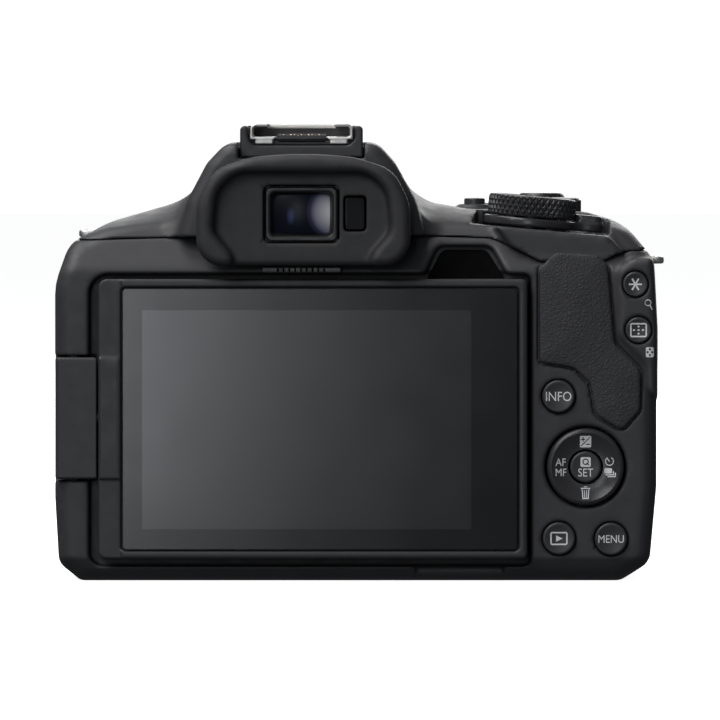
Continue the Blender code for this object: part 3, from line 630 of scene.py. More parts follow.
def make_front_cover():
    f = Field((-58.4, SPLIT, -0.2), (56.6, 34.6, 70.6), 0.42)
    outer, sharp = envelope(f)
    collar = meet(meet(f.rod("y", AXIS_X, AXIS_Z, 31.6), f.y - (FLANGE - 0.6), 1.2), 12.8 - f.y)
    cover = join(outer, collar, 1.6)
    cover = meet(cover, SPLIT + GAP / 2 - f.y, 0.3)
    cover = meet(cover, under_seam(f, -SEAM_GAP / 2), SEAM_EASE)
    cover = carve(cover, sharp + WALL)
    cover = carve(cover, f.z - BASE - GAP + 0 * f.x)
    cover = carve(cover, np.maximum(f.rod("y", AXIS_X, AXIS_Z, 27.5), -f.y))
    cover = carve(cover, np.maximum(f.rod("y", AXIS_X, AXIS_Z, 30.5), 15.3 - f.y), 0.2)
    release = middle("lens_release_button")
    cover = carve(cover, np.maximum(f.rod("y", release.x, release.z, 4.35), 5 - f.y), 0.4)
    lamp = middle("af_assist_lamp")
    cover = carve(cover, np.maximum(f.rod("y", lamp.x, lamp.z, 2.6), 5 - f.y), 0.4)
    cover = carve(cover, np.maximum(f.rod("y", AXIS_X - 28.6, AXIS_Z, 1.2), 5 - f.y))
    cover = carve(cover, f.block(-FAR, -56.4, -4.2, 3.9, 43.6, 56.4, 0.8), 0.3)
    cover = carve(cover, f.block(54.6, FAR, -4.2, 3.9, 19.6, 44.4, 0.8), 0.3)
    cover = carve(cover, f.block(52, FAR, -5.3, 5.3, 59.8, 62.1, 0.4), 0.2)
    recess = meet(-(sharp + 1.4), f.block(31.4, FAR, 15.7, FAR, 7.7, 56.3, 3))
    cover = carve(cover, recess, 0.3)
    add("front_cover_shell", f.skin(cover), PLASTIC, "front_cover")


def make_grip_rubber():
    f = field_over("grip_rubber", 0.4)
    outer, sharp = envelope(f)
    patch = f.block(31.7, FAR, 16, FAR, 8, 56, 2.8)
    pad = meet(meet(outer + 0.05, patch, 0.5), -(sharp + 1.1))
    add("grip_leather", f.skin(pad), GRIP_RUBBER, "grip_rubber")


def make_base_cover():
    f = field_over("base_cover", 0.4)
    outer, _ = envelope(f)
    cover = meet(meet(outer, f.z - BASE, 0.2), -16.8 - f.y, 0.3)
    cover = carve(cover, f.block(31.8, 49.7, -12.3, 26.3, -5, 10, 0.8), 0.3)
    cover = carve(cover, f.rod("z", AXIS_X, 4, 5.3) + 0 * f.z, 0.3)
    for x, y in BASE_SCREWS:
        cover = carve(cover, np.maximum(f.rod("z", x, y, 1.7), f.z - 0.7), 0.15)
    for x in (-40, 18):
        cover = carve(cover, f.block(x - 9, x + 9, 7, 9.6, -1, 0.35, 0.3), 0.1)
    add("base_cover_shell", f.skin(cover), PLASTIC, "base_cover")
    bm = bmesh.new()
    for x, y in BASE_SCREWS:
        screw(bm, facing("down", x, y, 0.62), 1.35, 0.45)
    add_solid("base_screws", bm, DARK_STEEL, body="root")


def screw(bm, place, radius, height):
    """Pan-head screw with a cross recess, its head towards +Z of the placement."""
    head = bmesh.new()
    profile = ((0, -height, 0.01), (radius, -height, 0.05), (radius, 0, 0.25), (0, 0.05, 0.01))
    lathe(head, rounded(profile), 32)
    arm, half = radius * 0.62, radius * 0.13
    cross = ((half, half), (half, arm), (-half, arm), (-half, half), (-arm, half), (-arm, -half),
             (-half, -half), (-half, -arm), (half, -arm), (half, -half), (arm, -half), (arm, half))
    head.transform(place)
    recess = prism("z", cross, 0.06, 0.075)
    recess.transform(place)
    absorb(bm, head)
    absorb(bm, recess)


def hump(f):
    return meet(f.outline("y", HUMP_BACK), f.outline("x", HUMP_SIDE), 2.2)


def flash_pocket(f, spare):
    """Space of the flash in the hump: a front block and two legs beside the shoe's spine."""
    floor, left, right = FLASH_FLOOR - spare, SPINE_LEFT - 0.6 + spare, SPINE_RIGHT + 0.6 - spare
    above = floor - f.z
    front = np.maximum(SPINE_FRONT + 0.7 - spare - f.y, above)
    hinge = f.rod("x", FLASH_Y, FLASH_Z, FLASH_R + spare)
    behind = np.minimum(np.maximum(FLASH_Y - spare - f.y, above), hinge)
    legs = np.maximum(np.minimum(f.x - left, right - f.x), behind)
    return np.minimum(front, legs)


def make_top_cover():
    f = Field((-56.4, -28.4, 60), (56.6, 34.6, 83.6), 0.36)
    outer, sharp = envelope(f)
    fillet = np.clip((f.y + 24.2) * 0.8, 0.05, 4.0)
    cover = join(outer, hump(f), fillet)
    housing = f.outline("y", ((-27, 55, 2), (5.3, 55, 2), (5.3, 79.5, 5), (-27, 79.5, 5)))
    cover = np.minimum(cover, meet(housing, np.maximum(-28.2 - f.y, f.y + 23), 0.8))
    deck_wall = meet(f.outline("y", DECK_WALL), np.maximum(-23.7 - f.y, f.y + 14), 0.8)
    cover = join(cover, deck_wall, 1.5)
    shutter, movie = middle("shutter_button"), middle("movie_button")
    collar = meet(f.rod("z", shutter.x, shutter.y, 6.2), f.z - 71.2, 0.9)
    cover = join(cover, collar, 1.2)
    cover = join(cover, meet(f.rod("z", movie.x, movie.y, 3.2), f.z - 71.5, 0.5), 0.8)
    cover = meet(cover, -under_seam(f, SEAM_GAP / 2), SEAM_EASE)
    cover = carve(cover, meet(sharp + WALL, f.z - 64.6))
    cover = carve(cover, f.block(-26.5, 4, -17, 15.5, 50, 73.6))
    cover = carve(cover, f.block(EYE_X - 7.3, EYE_X + 7.3, -40, -9.5, EYE_Z - 5.6, EYE_Z + 5.6))
    cover = carve(cover, f.block(-3.2, 1.1, -40, -24.7, 66.6, 73.4))
    cover = carve(cover, flash_pocket(f, GAP), 0.3)
    cover = carve(cover, f.block(-24.8, 2.3, FLASH_Y - 0.2, SPINE_FRONT + 9, SPINE_TOP, FAR, 0.2), 0.2)
    left, right = SPINE_LEFT - 0.1, SPINE_RIGHT + 0.1
    cover = carve(cover, f.block(left, right, -FAR, 0, SPINE_TOP, FAR, 0.2), 0.1)
    cover = carve(cover, f.block(left, right, -FAR, SHOE_REAR + 1.5, SHOE_APRON - GAP, FAR), 0.1)
    u, v, w = f.leaning()
    terrace = outline_distance(((-10.4, 3), (-15, -40), (14.9, -40), (14.9, 3)), u, v)
    cover = carve(cover, np.maximum(terrace, TERRACE - DIAL[2] - w), 0.4)
    cover = carve(cover, np.maximum(np.hypot(u, v) - 9.5, DIAL_FLOOR - DIAL[2] - w), 0.5)
    angle = np.arctan2(v, u)
    wedge = np.maximum(np.abs(angle - math.radians(20)) - math.radians(42), np.hypot(u, v) / 14.3 - 1) * 12
    cover = carve(cover, np.maximum(wedge, LEVER_FLOOR - DIAL[2] - w), 0.4)
    main, iso = middle("main_dial"), middle("iso_button")
    wells = ((shutter, 4.95, 65.7, 0.4), (main, 6.7, 67.9, 0.5),
             (iso, 2.75, 67, 0.35), (movie, 2.35, 67, 0.3))
    for centre, radius, floor, rim in wells:
        cover = carve(cover, np.maximum(f.rod("z", centre.x, centre.y, radius), floor - f.z), rim)
    cover = carve(cover, f.block(-FAR, -48.7, -5.3, 5.3, 60, 66.9, 0.4), 0.25)
    for step in range(5):
        for row in (0, 1):
            hole = f.rod("z", 8.5 + 1.5 * step, 9.5 + 1.5 * row, 0.42)
            cover = carve(cover, np.maximum(hole, 70.2 - f.z), 0.1)
    add("top_cover_shell", f.skin(cover), PLASTIC, "top_cover")


def make_flash():
    f = field_over("flash_cover", 0.26)
    cover = meet(hump(f), flash_pocket(f, 0), 0.35)
    cover = carve(cover, f.block(-26, 3.6, 5.9, 13.4, 60, 79.9, 0.5), 0.3)
    add("flash_cover_shell", f.skin(cover), PLASTIC, "flash_cover")
    dressed("flash_reflector", SATIN_STEEL)
    low, high = span("flash_lens")
    bm = bmesh.new()
    brick(bm, low.x, high.x, low.y, high.y, low.z + 0.25, high.z, 0.12)
    ribs = 16
    for i in range(ribs):
        x = low.x + 0.4 + (high.x - low.x - 0.8) * (i + 0.5) / ribs
        rib = ((x - 0.5, low.z + 0.26), (x, low.z + 0.02), (x + 0.5, low.z + 0.26))
        prism("y", rib, low.y + 0.3, high.y - 0.3, bm=bm)
    add("flash_window", mesh_from(bm), CLEAR, "flash_lens")


def make_thumb_rest():
    f = field_over("thumb_rest", 0.2)
    flat = outline_distance(rounded(THUMB), f.x, f.z)
    crown = -24.85 - 0.45 * np.clip(-flat / 6, 0, 1) ** 0.7
    pad = meet(meet(flat + 0.05, crown - f.y, 0.4), f.y - (REAR - GAP))
    add("thumb_pad", f.skin(pad), PAD_RUBBER, "thumb_rest")


# ---------------------------------------------------------------- viewfinder and hot shoe

def make_eyecup():
    f = field_over("eyecup", 0.24)
    outline = f.outline("y", ((-31.1, 60.1, 5), (9.4, 60.1, 5), (9.4, 72, 9), (6.2, 78.4, 7),
                              (-1.5, 80.8, 16), (-10.9, 81.4, 40), (-20.3, 80.8, 16),
                              (-28.0, 78.4, 7), (-31.1, 72, 9)))
    cup = meet(outline, np.maximum(CUP_FACE - f.y, f.y + 25.4), 1.6)
    face = f.outline("y", ((-23.6, 50, 1), (1.2, 50, 1), (2.2, 62.0, 4), (6.2, 66.5, 4), (5.4, 74.5, 6),
                           (1.5, 78.2, 6), (-23.5, 78.2, 6), (-27.6, 74.5, 6), (-28.4, 66.5, 4),
                           (-24.6, 62.0, 4)))
    funnel = meet(face + 0.12 * (f.y - CUP_FACE) + 0.2, f.y + 31.6, 0.8)
    cup = carve(cup, funnel, 1.2)
    skirt = f.outline("y", ((-27.3, 50, 2), (5.6, 50, 2), (5.6, 79.8, 5), (-27.3, 79.8, 5)))
    cup = carve(cup, np.maximum(skirt, -28.5 - f.y))
    hole = f.outline("y", rectangle(EYE_X - 7.2, EYE_X + 7.2, EYE_Z - 5.5, EYE_Z + 5.5, 1.2))
    cup = carve(cup, hole + 0 * f.y, 0.3)
    cup = carve(cup, f.outline("y", rectangle(-3.2, 1.1, 66.6, 73.4, 0.8)), 0.25)
    add("eyecup_rubber", f.skin(cup), EYE_RUBBER, "eyecup")


def make_viewfinder():
    f = field_over("eyepiece_frame", 0.15)
    frame_outline = f.outline("y", rectangle(EYE_X - 6.9, EYE_X + 6.9, EYE_Z - 5.2, EYE_Z + 5.2, 1.2))
    opening = f.outline("y", rectangle(EYE_X - 5.9, EYE_X + 5.9, EYE_Z - 4.2, EYE_Z + 4.2, 1.0))
    ring = meet(frame_outline, np.maximum(-30.1 - f.y, f.y + 27), 0.25)
    ring = carve(ring, opening + 0.35 * (f.y + 30.1), 0.3)
    add("eyepiece_surround", f.skin(ring), DARK_TRIM, "eyepiece_frame")

    f = field_over("eyepiece_lens", 0.2)
    outline = f.outline("y", rectangle(EYE_X - 5.6, EYE_X + 5.6, EYE_Z - 3.9, EYE_Z + 3.9, 1.0))
    bulge = 0.9 * (((f.x - EYE_X) / 5.6) ** 2 + ((f.z - EYE_Z) / 5.6) ** 2)
    lens = meet(meet(outline, -29.6 + bulge - f.y, 0.15), f.y + 27.6, 0.1)
    add("eyepiece_glass", f.skin(lens, 0.0), EYE_GLASS, "eyepiece_lens")

    low, high = span("eye_sensor_window")
    bm = prism("y", rounded(rectangle(low.x, high.x, low.z, high.z, 0.7)), low.y + 0.15, high.y, 0.15)
    add_solid("eye_sensor_glass", bm, WINDOW, "eye_sensor_window")

    low, high = span("diopter_slider")
    bm = brick(bmesh.new(), low.x, high.x, low.y, high.y, low.z, high.z, 0.2)
    for i in range(9):
        x = low.x + 3 + i * 1.1
        brick(bm, x - 0.25, x + 0.25, low.y, low.y + 0.5, low.z + 0.02, high.z - 0.02, 0.08)
    add_solid("diopter_thumbpiece", bm, DARK_TRIM, "diopter_slider")
    # Painted shade: a near-black sheet inside the viewfinder housing darkens what shows round the eyepiece
    bm = brick(bmesh.new(), EYE_X - 8.6, EYE_X + 8.6, -9.3, -8.9, 62, 73.3, 0.1)
    add_solid("evf_shade_sheet", bm, SHADE_BLACK, body="root")
    dressed("evf_barrel", DARK_TRIM)
    dressed("evf_display", WINDOW)


def make_hot_shoe():
    low, high = span("hot_shoe_rails")
    mid = (low.x + high.x) / 2
    f = field_over("hot_shoe_rails", 0.14, 1.0)
    across = np.abs(f.x - mid)
    step, lip = low.z + 0.6, high.z - 0.6
    rails = meet(across - (high.x - low.x) / 2, f.z - high.z, 1.3)
    rails = meet(rails, low.z - f.z, 0.2)
    rails = carve(rails, meet(across - 9.2, np.maximum(step - f.z, f.z - lip), 0.4))
    rails = carve(rails, meet(across - 6.25, step - f.z), 0.15)
    upright = np.maximum(high.z - 1.0 - f.z, f.z - (high.z - 0.25))
    stop = np.maximum(np.maximum(across - 6.6, high.y - 1.0 - f.y), upright)
    rails = np.minimum(rails, stop)
    rails = carve(rails, np.maximum(across - 5, f.y + 4), 0.2)
    rails = meet(rails, np.maximum(low.y - f.y, f.y - high.y), 0.2)
    tongue = meet(np.abs(across - 7.1) - 1.75, np.maximum(low.z - 0.85 - f.z, f.z - step), 0.3)
    tongue = meet(tongue, np.maximum(low.y + 0.05 - f.y, f.y - (low.y + 0.9)), 0.2)
    add("shoe_rails", f.skin(np.minimum(rails, tongue)), STEEL, "hot_shoe_rails")

    low, high = span("hot_shoe_base")
    f = field_over("hot_shoe_base", 0.17)
    across = np.abs(f.x - mid)
    underside = np.minimum(SPINE_TOP + GAP - f.z, f.y - (low.y + 1.2))
    base = meet(across - (high.x - low.x) / 2, f.z - high.z, 0.8)
    base = meet(base, np.maximum(low.y - f.y, f.y - high.y), 0.3)
    base = meet(base, np.maximum(underside, low.z - f.z), 0.15)
    floor = np.where(f.y < low.y + 1.4, SPINE_TOP + GAP - 0.1, SPINE_TOP + 1.0)
    channel = meet(across - 10.2, floor - f.z, 2.0)
    base = carve(base, np.maximum(channel, f.y - (high.y - 1)), 0.3)
    add("shoe_base", f.skin(base), COVER_PLASTIC, "hot_shoe_base")

    low, high = span("hot_shoe_contacts")
    bm = brick(bmesh.new(), low.x, high.x, low.y, high.y, low.z, high.z - 0.1, 0.15)
    for x in (-2.2, 2.2):
        brick(bm, mid + x - 1.7, mid + x + 1.7, low.y - 0.15, low.y + 1.0, low.z + 0.15, low.z + 0.55, 0.05)
    add_solid("shoe_insulator", bm, COVER_PLASTIC, "hot_shoe_contacts")
    bm = bmesh.new()
    for i in range(14):
        x = mid - 4.4 + 8.8 * i / 13
        brick(bm, x - 0.2, x + 0.2, low.y + 0.2, low.y + 1.2, high.z - 0.12, high.z + 0.12, 0.04)
    add_solid("shoe_spring", bm, DARK_STEEL, body="root")
    bm = bmesh.new()
    for x in (-3.4, -1.7, 0, 1.7, 3.4):
        brick(bm, mid + x - 0.5, mid + x + 0.5, low.y + 1.6, high.y - 1.4, high.z - 0.12,
              high.z - 0.02, 0.04)
    add_solid("shoe_contacts", bm, GOLD, body="root")


# ---------------------------------------------------------------- controls

def dished_cap(node, look, dish, edge=0.35, name=None):
    """Round rear button with a hollowed face, and the height of its face at a radius."""
    low, high = span(node)
    radius, centre = (high.x - low.x) / 2, middle(node)
    top, bottom = -low.y, -high.y

    def face(r):
        return top - dish * (1 - min(1.0, r / (radius - edge)) ** 2)
    rim = [(radius - edge * (1 - math.sin(math.radians(a))), top - edge * (1 - math.cos(math.radians(a))))
           for a in (90, 65, 45, 25)]
    hollow = [((radius - edge) * i / 10, face((radius - edge) * i / 10)) for i in range(10, -1, -1)]
    profile = [(0, bottom), (radius, bottom)] + rim + hollow
    place = facing("rear", centre.x, 0, centre.z)
    add_solid(name or node + "_cap", lathe(bmesh.new(), profile), look, node, place=place)
    return face


def knurled(radius, low, high, teeth, depth, rows, chamfer=0.45):
    """Drum with a diamond-cut band, about Z."""
    def wave(t):
        return abs((t % 1.0) * 2 - 1)
    around, up = teeth * 8, rows * 8
    levels = [low + (high - low) * i / up for i in range(up + 1)]
    bm = bmesh.new()
    rings = []
    for z in levels:
        ring = []
        edge = min(z - low, high - z)
        limit = radius - max(0.0, chamfer - edge) * 0.8
        for i in range(around):
            t, s = i / around * teeth, (z - low) / (high - low) * rows
            cut = depth * (1 - min(wave(t + s / 2), wave(t - s / 2)) * 1.6)
            r = min(limit, radius - max(0.0, cut) * min(1, edge / 0.3 + 0.2))
            angle = math.tau * i / around
            ring.append(bm.verts.new((r * math.cos(angle), r * math.sin(angle), z)))
        rings.append(ring)
    for below, above in zip(rings, rings[1:]):
        for i in range(around):
            j = (i + 1) % around
            bm.faces.new((below[i], below[j], above[j], above[i]))
    bm.faces.new(list(reversed(rings[0])))
    bm.faces.new(rings[-1])
    return bm


def leaning_place(z):
    """Placement on the mode dial's axis, at a height on the upright dial."""
    lean = Matrix.Rotation(DIAL_TILT, 4, "Y")
    return Matrix.Translation(Vector(DIAL)) @ lean @ Matrix.Translation((0, 0, z - DIAL[2]))


def make_mode_dial():
    bm = knurled(8.4, 0, 3.75, 44, 0.38, 4)
    add("mode_dial_band", mesh_from(bm, leaning_place(69.25)), BUTTON, "mode_dial")
    cap = ((0, 72.2, 0.01), (7.6, 72.2, 0.1), (7.6, 73.0, 0.25), (6.9, 73.15, 0.2), (6.7, 73.0, 0.2),
           (0, 73.0, 0.01))
    bm = lathe(bmesh.new(), [(max(0, r), z - 69.2) for r, z in rounded(cap, math.radians(25))], 72)
    add_solid("mode_dial_top", bm, COVER_PLASTIC, body="mode_dial", place=leaning_place(69.2))
    stem = ((0, 66.9, 0.01), (3, 66.9, 0.1), (3, 69.4, 0.1), (0, 69.4, 0.01))
    bm = lathe(bmesh.new(), [(max(0, r), z - 66.9) for r, z in rounded(stem)], 32)
    add_solid("mode_dial_stem", bm, DARK_STEEL, body="mode_dial", place=leaning_place(66.9))
    for i, letter in enumerate("PASM"):
        turn = Matrix.Rotation(math.radians(-90 - 32 * i), 4, "Z")
        place = leaning_place(73.02) @ turn @ Matrix.Translation((0, 5.4, 0))
        glyph("dial_mark_" + letter, [("text", letter, 0, 0, 1.7)], place, body="mode_dial")
    marks = [("disc", 5.4 * math.cos(math.radians(a)), 5.4 * math.sin(math.radians(a)), 0.35)
             for a in (22, 54, 86, 118, 150)]
    glyph("dial_marks", marks, leaning_place(73.02), body="mode_dial")


def make_power_lever():
    f = Field((20, -20, 64), (48, 0, 72), 0.2)
    u, v, w = f.leaning()
    w = w + DIAL[2]
    ring = np.hypot(u, v) - 9.0
    tab = np.hypot(np.maximum(np.abs(u - 6) - 5.2, 0), v) - 2.6
    lever = join(ring, tab, 1.5)
    lever = meet(lever, np.maximum(67.3 - w, w - 68.9), 0.35)
    ridge = np.hypot(np.maximum(np.abs(u - 10.9) - 1.3, 0), v * 0.8) - 1.4
    ridge = meet(ridge, np.maximum(67.6 - w, w - 70.4), 0.5)
    lever = join(lever, ridge, 0.6)
    lever = carve(lever, np.hypot(u, v) - 3.4)
    add("power_lever_ring", f.skin(lever), KEY_RING, "power_lever")


def make_top_buttons():
    low, high = span("shutter_button")
    centre = middle("shutter_button")
    profile = [(0, low.z), (4.6, low.z), (4.6, 72.3), (4.35, 73.0), (3.9, 73.35), (3.2, 73.3),
               (2.0, 73.15), (0, 73.1)]
    place = Matrix.Translation((centre.x, centre.y, 0))
    add_solid("shutter_cap", lathe(bmesh.new(), profile), DARK_TRIM, "shutter_button", place=place)
    for node, dish in (("iso_button", 0.15), ("movie_button", 0.25)):
        low, high = span(node)
        centre, radius = middle(node), (high.x - low.x) / 2
        profile = [(0, low.z), (radius, low.z), (radius, high.z - 0.35), (radius - 0.12, high.z - 0.08),
                   (radius - 0.35, high.z), (radius * 0.5, high.z - dish * 0.75), (0, high.z - dish)]
        place = Matrix.Translation((centre.x, centre.y, 0))
        add_solid(node + "_cap", lathe(bmesh.new(), profile), BUTTON, node, place=place)
    low, high = span("main_dial")
    centre, radius = middle("main_dial"), (high.x - low.x) / 2
    bm = bmesh.new()
    teeth = 40
    outline = []
    for i in range(teeth * 4):
        angle = math.tau * i / (teeth * 4)
        r = radius - (0.0, 0.06, 0.42, 0.06)[i % 4]
        outline.append((r * math.cos(angle), r * math.sin(angle)))
    prism("z", outline, low.z, high.z - 0.5, bm=bm)
    lathe(bm, [(0, high.z - 0.6), (radius - 0.25, high.z - 0.6), (radius - 0.45, high.z - 0.15),
               (radius - 0.9, high.z), (radius - 1.6, high.z - 0.12), (0, high.z - 0.12)])
    place = Matrix.Translation((centre.x, centre.y, 0))
    add_solid("main_dial_wheel", bm, BUTTON, "main_dial", place=place)


def make_rear_controls():
    """Rear caps; returns the face height of each for its print."""
    faces = {node: dished_cap(node, BUTTON, 0.22) for node in REAR_BUTTONS}
    faces["set_button"] = dished_cap("set_button", BUTTON, 0.12, 0.3)
    keys = middle("cross_key_plate")
    outer, inner = 7.3, 3.35

    def plate(r):
        t = (r - inner) / (6.5 - inner)
        return 24.55 + 0.75 * min(1.0, max(0.0, t)) ** 1.6
    rim = [(outer - 0.8 * (1 - math.sin(math.radians(a))), 25.35 - 0.8 * (1 - math.cos(math.radians(a))))
           for a in (90, 75, 60, 45, 30, 15, 0)]
    radii = [inner + (6.5 - inner) * i / 12 for i in range(12, -1, -1)]
    face = [(r, plate(r)) for r in radii]
    profile = [(inner, 23.0), (outer, 23.0)] + rim + face
    place = facing("rear", keys.x, 0, keys.z)
    add_solid("cross_key_ring", lathe(bmesh.new(), profile, 96), KEY_RING, "cross_key_plate", place=place)
    dressed("cross_key_gimbal", DARK_TRIM)
    faces["cross_key_plate"] = plate
    return faces


# ---------------------------------------------------------------- print

def stroke(bm, points, width, closed=False):
    """Line of a width through the points, as flat bars that run half the width past each point."""
    pairs = list(zip(points, points[1:] + points[:1])) if closed else list(zip(points, points[1:]))
    for (u0, v0), (u1, v1) in pairs:
        along = Vector((u1 - u0, v1 - v0)).normalized()
        side = Vector((-along.y, along.x)) * width / 2
        start, end = Vector((u0, v0)) - along * width / 2, Vector((u1, v1)) + along * width / 2
        prism("z", [start - side, end - side, end + side, start + side], 0, INK, bm=bm)


def draw(bm, item):
    """Add one element of a symbol to a bmesh: (kind, then its numbers)."""
    kind, *values = item
    if kind == "line":
        points, width = values
        stroke(bm, list(points), width)
    elif kind == "frame":
        u, v, wide, high, width = values
        half = (wide - width) / 2, (high - width) / 2
        corners = rectangle(u - half[0], u + half[0], v - half[1], v + half[1], 0.3)
        stroke(bm, rounded(corners, math.radians(30)), width, True)
    elif kind == "area":
        prism("z", values[0], 0, INK, bm=bm)
    elif kind == "panel":
        u, v, wide, high = values
        corners = rectangle(u - wide / 2, u + wide / 2, v - high / 2, v + high / 2, 0.25)
        prism("z", rounded(corners), 0, INK, bm=bm)
    elif kind == "disc":
        u, v, radius = values
        prism("z", [(u + radius * math.cos(math.tau * i / 24), v + radius * math.sin(math.tau * i / 24))
                    for i in range(24)], 0, INK, bm=bm)
    elif kind == "arc":
        u, v, radius, start, sweep, width = values
        steps = max(6, int(abs(sweep) / 12))
        points = []
        for i in range(steps + 1):
            angle = math.radians(start + sweep * i / steps)
            points.append((u + radius * math.cos(angle), v + radius * math.sin(angle)))
        stroke(bm, points, width)
    elif kind == "text":
        word, u, v, high = values
        curve = bpy.data.curves.new("word", "FONT")
        curve.body, curve.align_x, curve.align_y = word, "CENTER", "CENTER"
        curve.size, curve.extrude = high * 1.42, INK / 2
        curve.resolution_u = 4
        holder = bpy.data.objects.new("word", curve)
        bpy.context.collection.objects.link(holder)
        depsgraph = bpy.context.evaluated_depsgraph_get()
        mesh = bpy.data.meshes.new_from_object(holder.evaluated_get(depsgraph))
        low = min(vert.co.y for vert in mesh.vertices)
        top = max(vert.co.y for vert in mesh.vertices)
        centred = Matrix.Translation((u, v - (low + top) / 2, INK / 2))
        mesh.transform(centred @ Matrix.Diagonal((0.86, 1, 1, 1)))
        bm.from_mesh(mesh)
        bpy.data.objects.remove(holder)
        bpy.data.curves.remove(curve)
        bpy.data.meshes.remove(mesh)


def glyph(name, items, place, body, look=None, lay=None):
    """Printed symbol in the plane of the placement; lay bends it onto a surface."""
    bm = bmesh.new()
    for item in items:
        draw(bm, item)
    if lay:
        for axis in (0, 1):
            ends = [vert.co[axis] for vert in bm.verts]
            for step in range(1, int((max(ends) - min(ends)) / 0.5) + 1):
                at = [0.0, 0.0, 0.0]
                at[axis] = min(ends) + 0.5 * step
                normal = [float(axis == 0), float(axis == 1), 0.0]
                everything = bm.verts[:] + bm.edges[:] + bm.faces[:]
                bmesh.ops.bisect_plane(bm, geom=everything, dist=1e-5, plane_co=at, plane_no=normal)
        for vert in bm.verts:
            vert.co.z += lay(vert.co.x, vert.co.y)
    mesh = bpy.data.meshes.new(name)
    bm.to_mesh(mesh)
    bm.free()
    mesh.transform(Matrix.Scale(MM, 4) @ place)
    return add(name, mesh, look or PRINT, body=body)


def print_button(node, items, face, dark=()):
    """White symbol on a dished cap, and the dark parts inside it."""
    centre = middle(node)
    body = BODY_OF[node]

    def lay(u, v):
        return face(math.hypot(u, v))
    place = facing("rear", centre.x, 0, centre.z)
    glyph(node + "_print", items, place, body, PRINT, lay)
    if dark:
        glyph(node + "_print_dark", dark, facing("rear", centre.x, -0.015, centre.z), body, BUTTON, lay)


def star(radius):
    rays = []
    for angle in (0, math.pi / 3, 2 * math.pi / 3):
        u, v = radius * math.cos(angle), radius * math.sin(angle)
        rays.append(("line", ((-u, -v), (u, v)), 0.3))
    return rays


def make_print(faces, rear_surface):
    print_button("ae_lock_button", star(1.1), faces["ae_lock_button"])
    squares = [("panel", u, v, 0.42, 0.34)
               for u, v in ((0, 0), (-0.85, 0), (0.85, 0), (0, 0.68), (0, -0.68))]
    print_button("af_point_button", [("frame", 0, 0, 3.2, 2.7, 0.28)] + squares, faces["af_point_button"])
    print_button("info_button", [("text", "INFO", 0, 0, 1.8)], faces["info_button"])
    print_button("menu_button", [("text", "MENU", 0, 0, 1.5)], faces["menu_button"])
    play = [("frame", 0, 0, 3.3, 2.5, 0.28), ("area", ((-0.55, -0.6), (0.7, 0), (-0.55, 0.6)))]
    print_button("playback_button", play, faces["playback_button"])
    quick_menu = [("panel", 0, 0.95, 1.95, 1.85), ("text", "SET", 0, -1.05, 1.55)]
    quick_dark = [("arc", 0, 1.0, 0.5, 0, 360, 0.2), ("line", ((0.2, 0.75), (0.6, 0.4)), 0.2)]
    print_button("set_button", quick_menu, faces["set_button"], quick_dark)

    exposure = [("panel", 0, 4.8, 2.15, 2.2)]
    exposure_dark = [("line", ((-0.8, 4.0), (0.8, 5.6)), 0.16),
                     ("line", ((-0.8, 5.25), (-0.15, 5.25)), 0.18),
                     ("line", ((-0.47, 4.93), (-0.47, 5.57)), 0.18),
                     ("line", ((0.2, 4.3), (0.8, 4.3)), 0.18)]
    focus = [("text", "AF", -4.7, 0.9, 1.45), ("text", "MF", -4.7, -1.05, 1.45)]
    timer = [("arc", 4.55, 1.05, 0.75, 125, 290, 0.18), ("line", ((4.55, 1.05), (4.2, 1.5)), 0.16)]
    drive = [("panel", 4.3, -0.75, 1.5, 1.0), ("line", ((3.9, -1.5), (5.3, -1.5), (5.3, -0.9)), 0.2),
             ("line", ((4.3, -1.85), (5.65, -1.85), (5.65, -1.2)), 0.2)]
    trash = [("line", ((-0.8, -4.1), (0.8, -4.1)), 0.22), ("line", ((-0.25, -3.8), (0.25, -3.8)), 0.2),
             ("line", ((-0.62, -4.4), (-0.5, -6.0), (0.5, -6.0), (0.62, -4.4)), 0.2),
             ("line", ((-0.2, -4.5), (-0.17, -5.8)), 0.14), ("line", ((0.2, -4.5), (0.17, -5.8)), 0.14)]
    print_button("cross_key_plate", exposure + focus + timer + drive + trash, faces["cross_key_plate"],
                 exposure_dark)

    magnifier = [("arc", 54.6, 53.0, 0.55, 0, 360, 0.2), ("line", ((55.0, 52.5), (55.35, 51.75)), 0.22)]
    index = [("panel", 54.95, 43.6, 1.5, 1.9)]
    index_dark = [("panel", 54.95 + u, 43.6 + v, 0.4, 0.44)
                  for u, v in ((0, 0.56), (0, -0.56), (-0.42, 0), (0.42, 0))]

    def lay(u, v):
        return -rear_surface(u, v)
    glyph("magnify_print", magnifier + index, facing("rear", 0, 0, 0), "root", PRINT, lay)
    glyph("index_print_dark", index_dark, facing("rear", 0, -0.02, 0), "root", PLASTIC, lay)


# ---------------------------------------------------------------- screen

